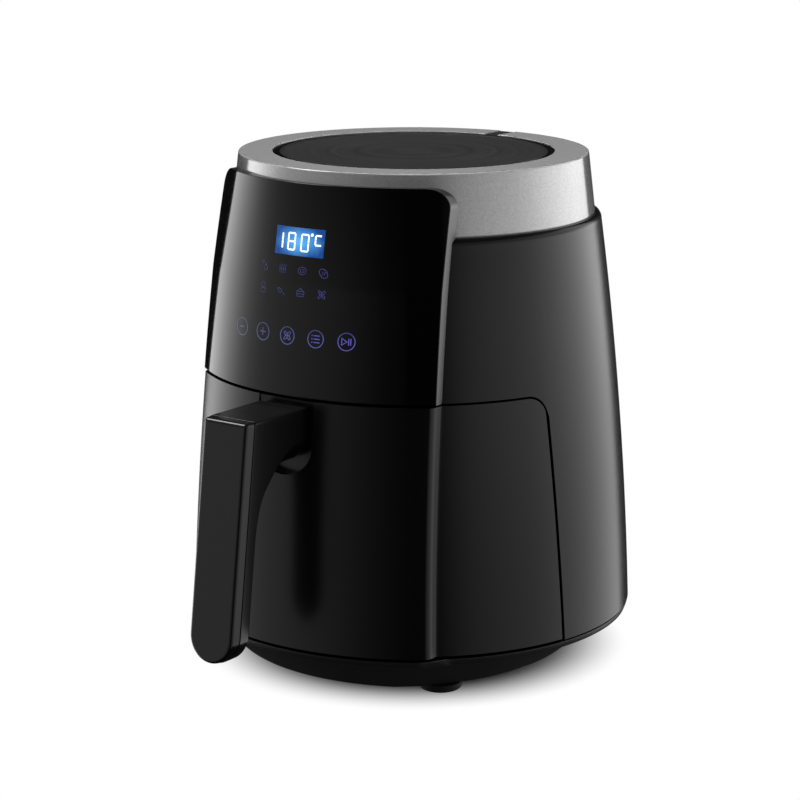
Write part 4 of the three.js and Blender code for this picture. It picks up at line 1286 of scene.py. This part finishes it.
def shell_bottom(angle):
    """Lowest height of the shell's upper part, at an angle from the back. Over the drawer this follows the
    opening's round corner and its upper edge."""
    if abs(angle) <= side_end(OPENING_SIDE_TOP) + 1e-9:
        return OPENING_SIDE_TOP
    forward = -body_radius(OPENING_TOP) * math.cos(angle)
    inside = max(0.0, OPENING_CORNER - (forward - (wing_edge(OPENING_TOP) - DRAWER_GAP)))
    return OPENING_SIDE_TOP + math.sqrt(max(0.0, OPENING_CORNER**2 - inside**2))


def shell_lower_block(wall):
    """Rows of the shell behind and beside the drawer, that far inside its outer face."""
    made = []
    for z in np.linspace(SHELL_LOW, OPENING_SIDE_TOP, 20):
        used = body_radius(z) - wall
        angles = np.linspace(-side_end(z), side_end(z), SHELL_COLUMNS + 1)
        made.append([(used * math.sin(a), used * math.cos(a), z) for a in angles])
    return np.array(made)


def shell_upper_block(angles, wall):
    """Rows of the shell above the drawer and behind it, up to the round shoulder under the ring."""
    made = []
    for share in np.linspace(0, 1, 16):
        row = []
        for a in angles:
            z = shell_bottom(a) + (SHOULDER_LOW - shell_bottom(a)) * share
            used = body_radius(z) - wall
            row.append((used * math.sin(a), used * math.cos(a), z))
        made.append(row)
    for turn in np.linspace(0, math.pi / 2, 8)[1:]:
        used = body_radius(SHOULDER_LOW) - SHOULDER * 0.75 * (1 - math.cos(turn)) - wall
        z = SHOULDER_LOW + SHOULDER * math.sin(turn) - wall * 0.4
        made.append([(used * math.sin(a), used * math.cos(a), z) for a in angles])
    return np.array(made)


def shell_shape():
    """The casing: one block behind and beside the drawer, and three above it."""
    back = side_end(OPENING_SIDE_TOP)
    back_angles = np.linspace(-back, back, SHELL_COLUMNS + 1)
    front_share = np.concatenate([np.linspace(0, 0.16, 13), np.linspace(0.16, 1.0, 25)[1:]])
    right_angles = back + (math.pi - back) * front_share
    blocks = [(shell_lower_block(0.0), shell_lower_block(SHELL_WALL))]
    for angles in (back_angles, right_angles, -right_angles[::-1]):
        blocks.append((shell_upper_block(angles, 0.0), shell_upper_block(angles, SHELL_WALL)))
    return thick(blocks)


piece("shell_skin", shell_shape(), "housing", "satin_black", ["outer_shell"], 40, 0.6)


def even_points(path, count):
    """That many points along a path, between its two ends."""
    path = np.array(path, float)
    run = np.concatenate([[0], np.cumsum(np.linalg.norm(np.diff(path, axis=0), axis=1))])
    places = np.linspace(0, run[-1], count + 2)[1:-1]
    return [(np.interp(d, run, path[:, 0]), np.interp(d, run, path[:, 1])) for d in places]


def outline_half(z, front_inset, side_inset):
    """Right half of the base's outline at a height, from the front middle to the back middle."""
    level = max(z, DRAWER_LOW)
    narrowing = 0.55  # how much the plate's half width loses for each millimetre of inset
    half = plate_half(level) - front_inset * narrowing
    front = [(x, plate_y(x, level, front_inset)) for x in half * np.sin(np.linspace(0, math.pi / 2, 33))]
    start = math.asin(half / (body_radius(level) - front_inset))
    side = []
    for share in np.linspace(0, 1, 97):
        angle = start + (math.pi - start) * share
        draw_in = front_inset + (side_inset - front_inset) * min(1.0, share * 4)
        used = body_radius(level) - draw_in
        side.append((used * math.sin(angle), -used * math.cos(angle)))
    cut = 4.0 + front_inset * 0.45  # how much of each makes way for the bend between them
    near = [p for p in front if p[0] < half - cut]
    away = [p for p in side if p[1] > side[0][1] + cut]
    middle = ((front[-1][0] + side[0][0]) / 2, (front[-1][1] + side[0][1]) / 2)
    bend = arc_points(near[-1], middle, away[0], 100.0, 8)
    left_out = len(front) + len(side) - len(near) - len(away)
    return [*near, *even_points([near[-1], *bend, away[0]], left_out), *away]


BASE_ROWS = [  # how far inside the body a ring of the underside lies, in front and at the sides, and its z
    (7.0, 7.0, 26.0),
    (2.2, 2.2, 29.2),
    (0.9, 0.9, 30.5),
    (0.5, 0.5, 30.3),
    (0.4, 0.4, 29.8),
    (1.4, 1.4, 27.0),
    (2.4, 2.4, 26.3),
    (9.0, 12.0, 24.0),
    (11.5, 14.5, 22.6),
    (29.0, 35.0, 5.8),
    (30.2, 36.2, 4.9),
    (32.0, 38.0, 4.5),
]


def base_shape():
    """The underside: a thin lip under the body, then a dish that draws in to a flat bottom."""
    rings = []
    for front_inset, side_inset, z in BASE_ROWS:
        half = outline_half(z, front_inset, side_inset)
        left = [(-x, y) for x, y in half[-2:0:-1]]
        rings.append(np.array([(x, y, z) for x, y in [*half, *left]]))
    index = numbered(len(rings), len(rings[0]))
    top_middle = index[-1].max() + 1
    faces = quads(index)
    for i in range(len(rings[0])):
        faces.append([top_middle, index[0, i + 1], index[0, i]])
        faces.append([top_middle + 1, index[-1, i], index[-1, i + 1]])
    return np.concatenate([*rings, [[0, 0, BASE_ROWS[0][2]], [0, 0, BASE_ROWS[-1][2]]]]), faces


piece("base_skin", base_shape(), "housing", "base_black", ["base"])


def place_of(node):
    """Middle of a node seen from above, from the body's axis."""
    centre = (low(node) + high(node)) / 2
    return centre.x, centre.y - AXIS_Y


def foot_shape(node):
    x, y = place_of(node)
    radius = (high(node).x - low(node).x) / 2
    top = high(node).z
    path = [(0, 0), (radius - 2.2, 0), (radius, 1.6), (radius, top + 1), (0, top + 1)]
    return moved(turned(rounded(path, [0, 1.2, 1.2, 0, 0]), 48), (x, y, 0))


for number in range(1, 5):
    node = f"foot_{number}"
    piece(node + "_pad", foot_shape(node), "housing", "rubber", [node])

# ---------------------------------------------------------------- top ring and disc


def ring_shape():
    path = [
        (107.6, RING_LOW - 6),
        (RING_RADIUS_LOW, RING_LOW),
        (RING_RADIUS_HIGH, RING_TOP),
        (RING_BORE, RING_TOP),
        (RING_BORE, RING_TOP - 0.9),
        (RING_BORE + 2.4, RING_TOP - 1.1),
        (RING_BORE + 2.4, RING_TOP - 2.6),
        (RING_RADIUS_HIGH - 2.6, RING_TOP - 2.6),
        (RING_RADIUS_LOW - 2.6, RING_LOW),
        (105.0, RING_LOW - 6),
    ]
    profile = rounded(path, [0, 0.4, 0.9, 0.4, 0, 0, 0, 0, 0, 0], 5, closed=True)
    profile = np.concatenate([profile, profile[:1]])
    return turned(profile, 220, NOTCH_ANGLE - math.pi, math.pi - NOTCH_ANGLE)


piece("top_ring_skin", ring_shape(), "housing", "silver_paint", ["top_ring"])


def notch_shape():
    """Ribbed dark strip that fills the notch at the back of the ring."""
    floor, crest = RING_TOP - 1.3, RING_TOP - 0.3
    start, end, count = RING_BORE + 0.4, RING_RADIUS_HIGH - 0.8, 8
    pitch = (end - start) / count
    path = [(start, RING_LOW - 4), (start, floor)]
    for k in range(count):
        r = start + k * pitch
        path += [(r + 0.2 * pitch, floor), (r + 0.3 * pitch, crest), (r + 0.8 * pitch, crest)]
        path += [(r + 0.9 * pitch, floor)]
    path += [(end + 0.5, floor), (end + 3.2, RING_LOW - 4), (start, RING_LOW - 4)]
    half = NOTCH_ANGLE - 0.003
    return turned(path, 6, math.pi - half, math.pi + half)


piece("notch_ribs", notch_shape(), "housing", "base_black", ["rear_vent_insert"], 30)


def disc_shape():
    radius = high("top_disc").x
    top = high("top_disc").z
    path = [
        (0, top - 4.2),
        (radius - 0.6, top - 4.2),
        (radius, top - 3.4),
        (radius, top),
        (radius - 1.1, top),
        (radius - 1.6, top - 0.5),
        (0, top - 0.5),
    ]
    return turned(rounded(path, [0, 0.4, 0.4, 0.5, 0.3, 0.2, 0]), 200)


piece("top_disc_skin", disc_shape(), "housing", "spun_dark", ["top_disc"])


def well_shape():
    """Dark floor of the groove between the ring and the disc."""
    radius = high("top_disc").x
    floor = RING_TOP - 12
    path = [
        (radius - 8, floor),
        (RING_BORE + 2.3, floor),
        (RING_BORE + 2.3, RING_TOP - 1.15),
        (RING_BORE + 0.15, RING_TOP - 0.95),
        (RING_BORE + 0.15, floor + 0.8),
        (radius - 8, floor + 0.8),
        (radius - 8, floor),
    ]
    return turned(path, 200)


piece("ring_well", well_shape(), "housing", "base_black")

# ---------------------------------------------------------------- pan and crisper plate


def pan_shape():
    floor, rim_low, rim_top = low("pan").z, high("pan").z - 4, high("pan").z
    flange = high("pan").x
    path = [
        (0, floor),
        (84, floor),
        (91, floor + 7),
        (96.6, rim_low - 0.2),
        (flange - 0.4, rim_low),
        (flange, rim_low + 1),
        (flange, rim_top - 1),
        (flange - 1.2, rim_top),
        (96.4, rim_top),
        (95.2, rim_top - 2.5),
        (89.8, floor + 7.4),
        (83.2, floor + 1.2),
        (0, floor + 1.2),
    ]
    sizes = [0, 4, 4, 0.8, 0.4, 0.6, 0.8, 0.8, 1.4, 2, 4, 4, 0]
    return turned(rounded(path, sizes, 5), 160)


def pan_bracket():
    """Bracket on the front of the pan that the handle's screws hold."""
    half, back = 26, -114.5
    plate = box_shape((-half, back - 2, 92), (half, back, 156))
    upper_shelf = box_shape((-half, back, 140), (half, -93, 142))
    lower_shelf = box_shape((-half, back, 106), (half, -91, 108))
    return combined(plate, upper_shelf, lower_shelf)


piece("pan_bowl", pan_shape(), "drawer", "nonstick", ["pan"])
piece("pan_bracket", pan_bracket(), "drawer", "galvanised", (), 40, 0.3)


def crisper_shape():
    """A disc with a turned-up rim and a pattern of round holes."""
    radius = high("crisper_plate").x
    floor = low("crisper_plate").z
    path = [
        (9.0, floor),
        (radius - 2.6, floor),
        (radius, floor + 1.6),
        (radius, floor + 5.2),
        (radius - 1.4, floor + 5.2),
        (radius - 1.6, floor + 2.6),
        (radius - 3.4, floor + 1.8),
        (9.0, floor + 1.8),
        (9.0, floor),
    ]
    return turned(path, 160)


HOLE_RADIUS = 3.2
HOLE_ROWS = [(22, 8), (36, 14), (50, 20), (64, 26), (76.5, 32)]  # distance from the middle, number of holes


def hole_cutter():
    """Rods that stand where the crisper plate's holes go."""
    floor = low("crisper_plate").z
    below, above = floor - 3, floor + 6
    rod = turned([(0, below), (HOLE_RADIUS, below), (HOLE_RADIUS, above), (0, above)], 20)
    rods = []
    for k, (radius, count) in enumerate(HOLE_ROWS):
        for i in range(count):
            angle = 2 * math.pi * (i + 0.5 * (k % 2)) / count
            rods.append(moved(rod, (radius * math.sin(angle), -radius * math.cos(angle), 0)))
    return combined(*rods)


def cut_holes(target, cutter_shape):
    """Cuts closed shapes out of a piece and keeps the result as its mesh."""
    cutter = link_object("cutter", clean_mesh("cutter", cutter_shape))
    step = target.modifiers.new("holes", "BOOLEAN")
    step.operation = "DIFFERENCE"
    step.object = cutter
    step.solver = "EXACT"
    target.modifiers.move(len(target.modifiers) - 1, 0)
    with bpy.context.temp_override(object=target, active_object=target):
        bpy.ops.object.modifier_apply(modifier="holes")
    bpy.data.objects.remove(cutter)
    shade(target.data, 35)


crisper = piece("crisper_disc", crisper_shape(), "crisper", "nonstick", ["crisper_plate"], 35)
cut_holes(crisper, hole_cutter())

# ---------------------------------------------------------------- everything that stays a CAD part

record_slots = {entry["node"]: entry["material_slot"] for entry in frame["record"]["subparts"]}
for node, cad_object in frame["nodes"].items():
    cad_object.data.materials.clear()
    cad_object.data.materials.append(finish(record_slots[node]))
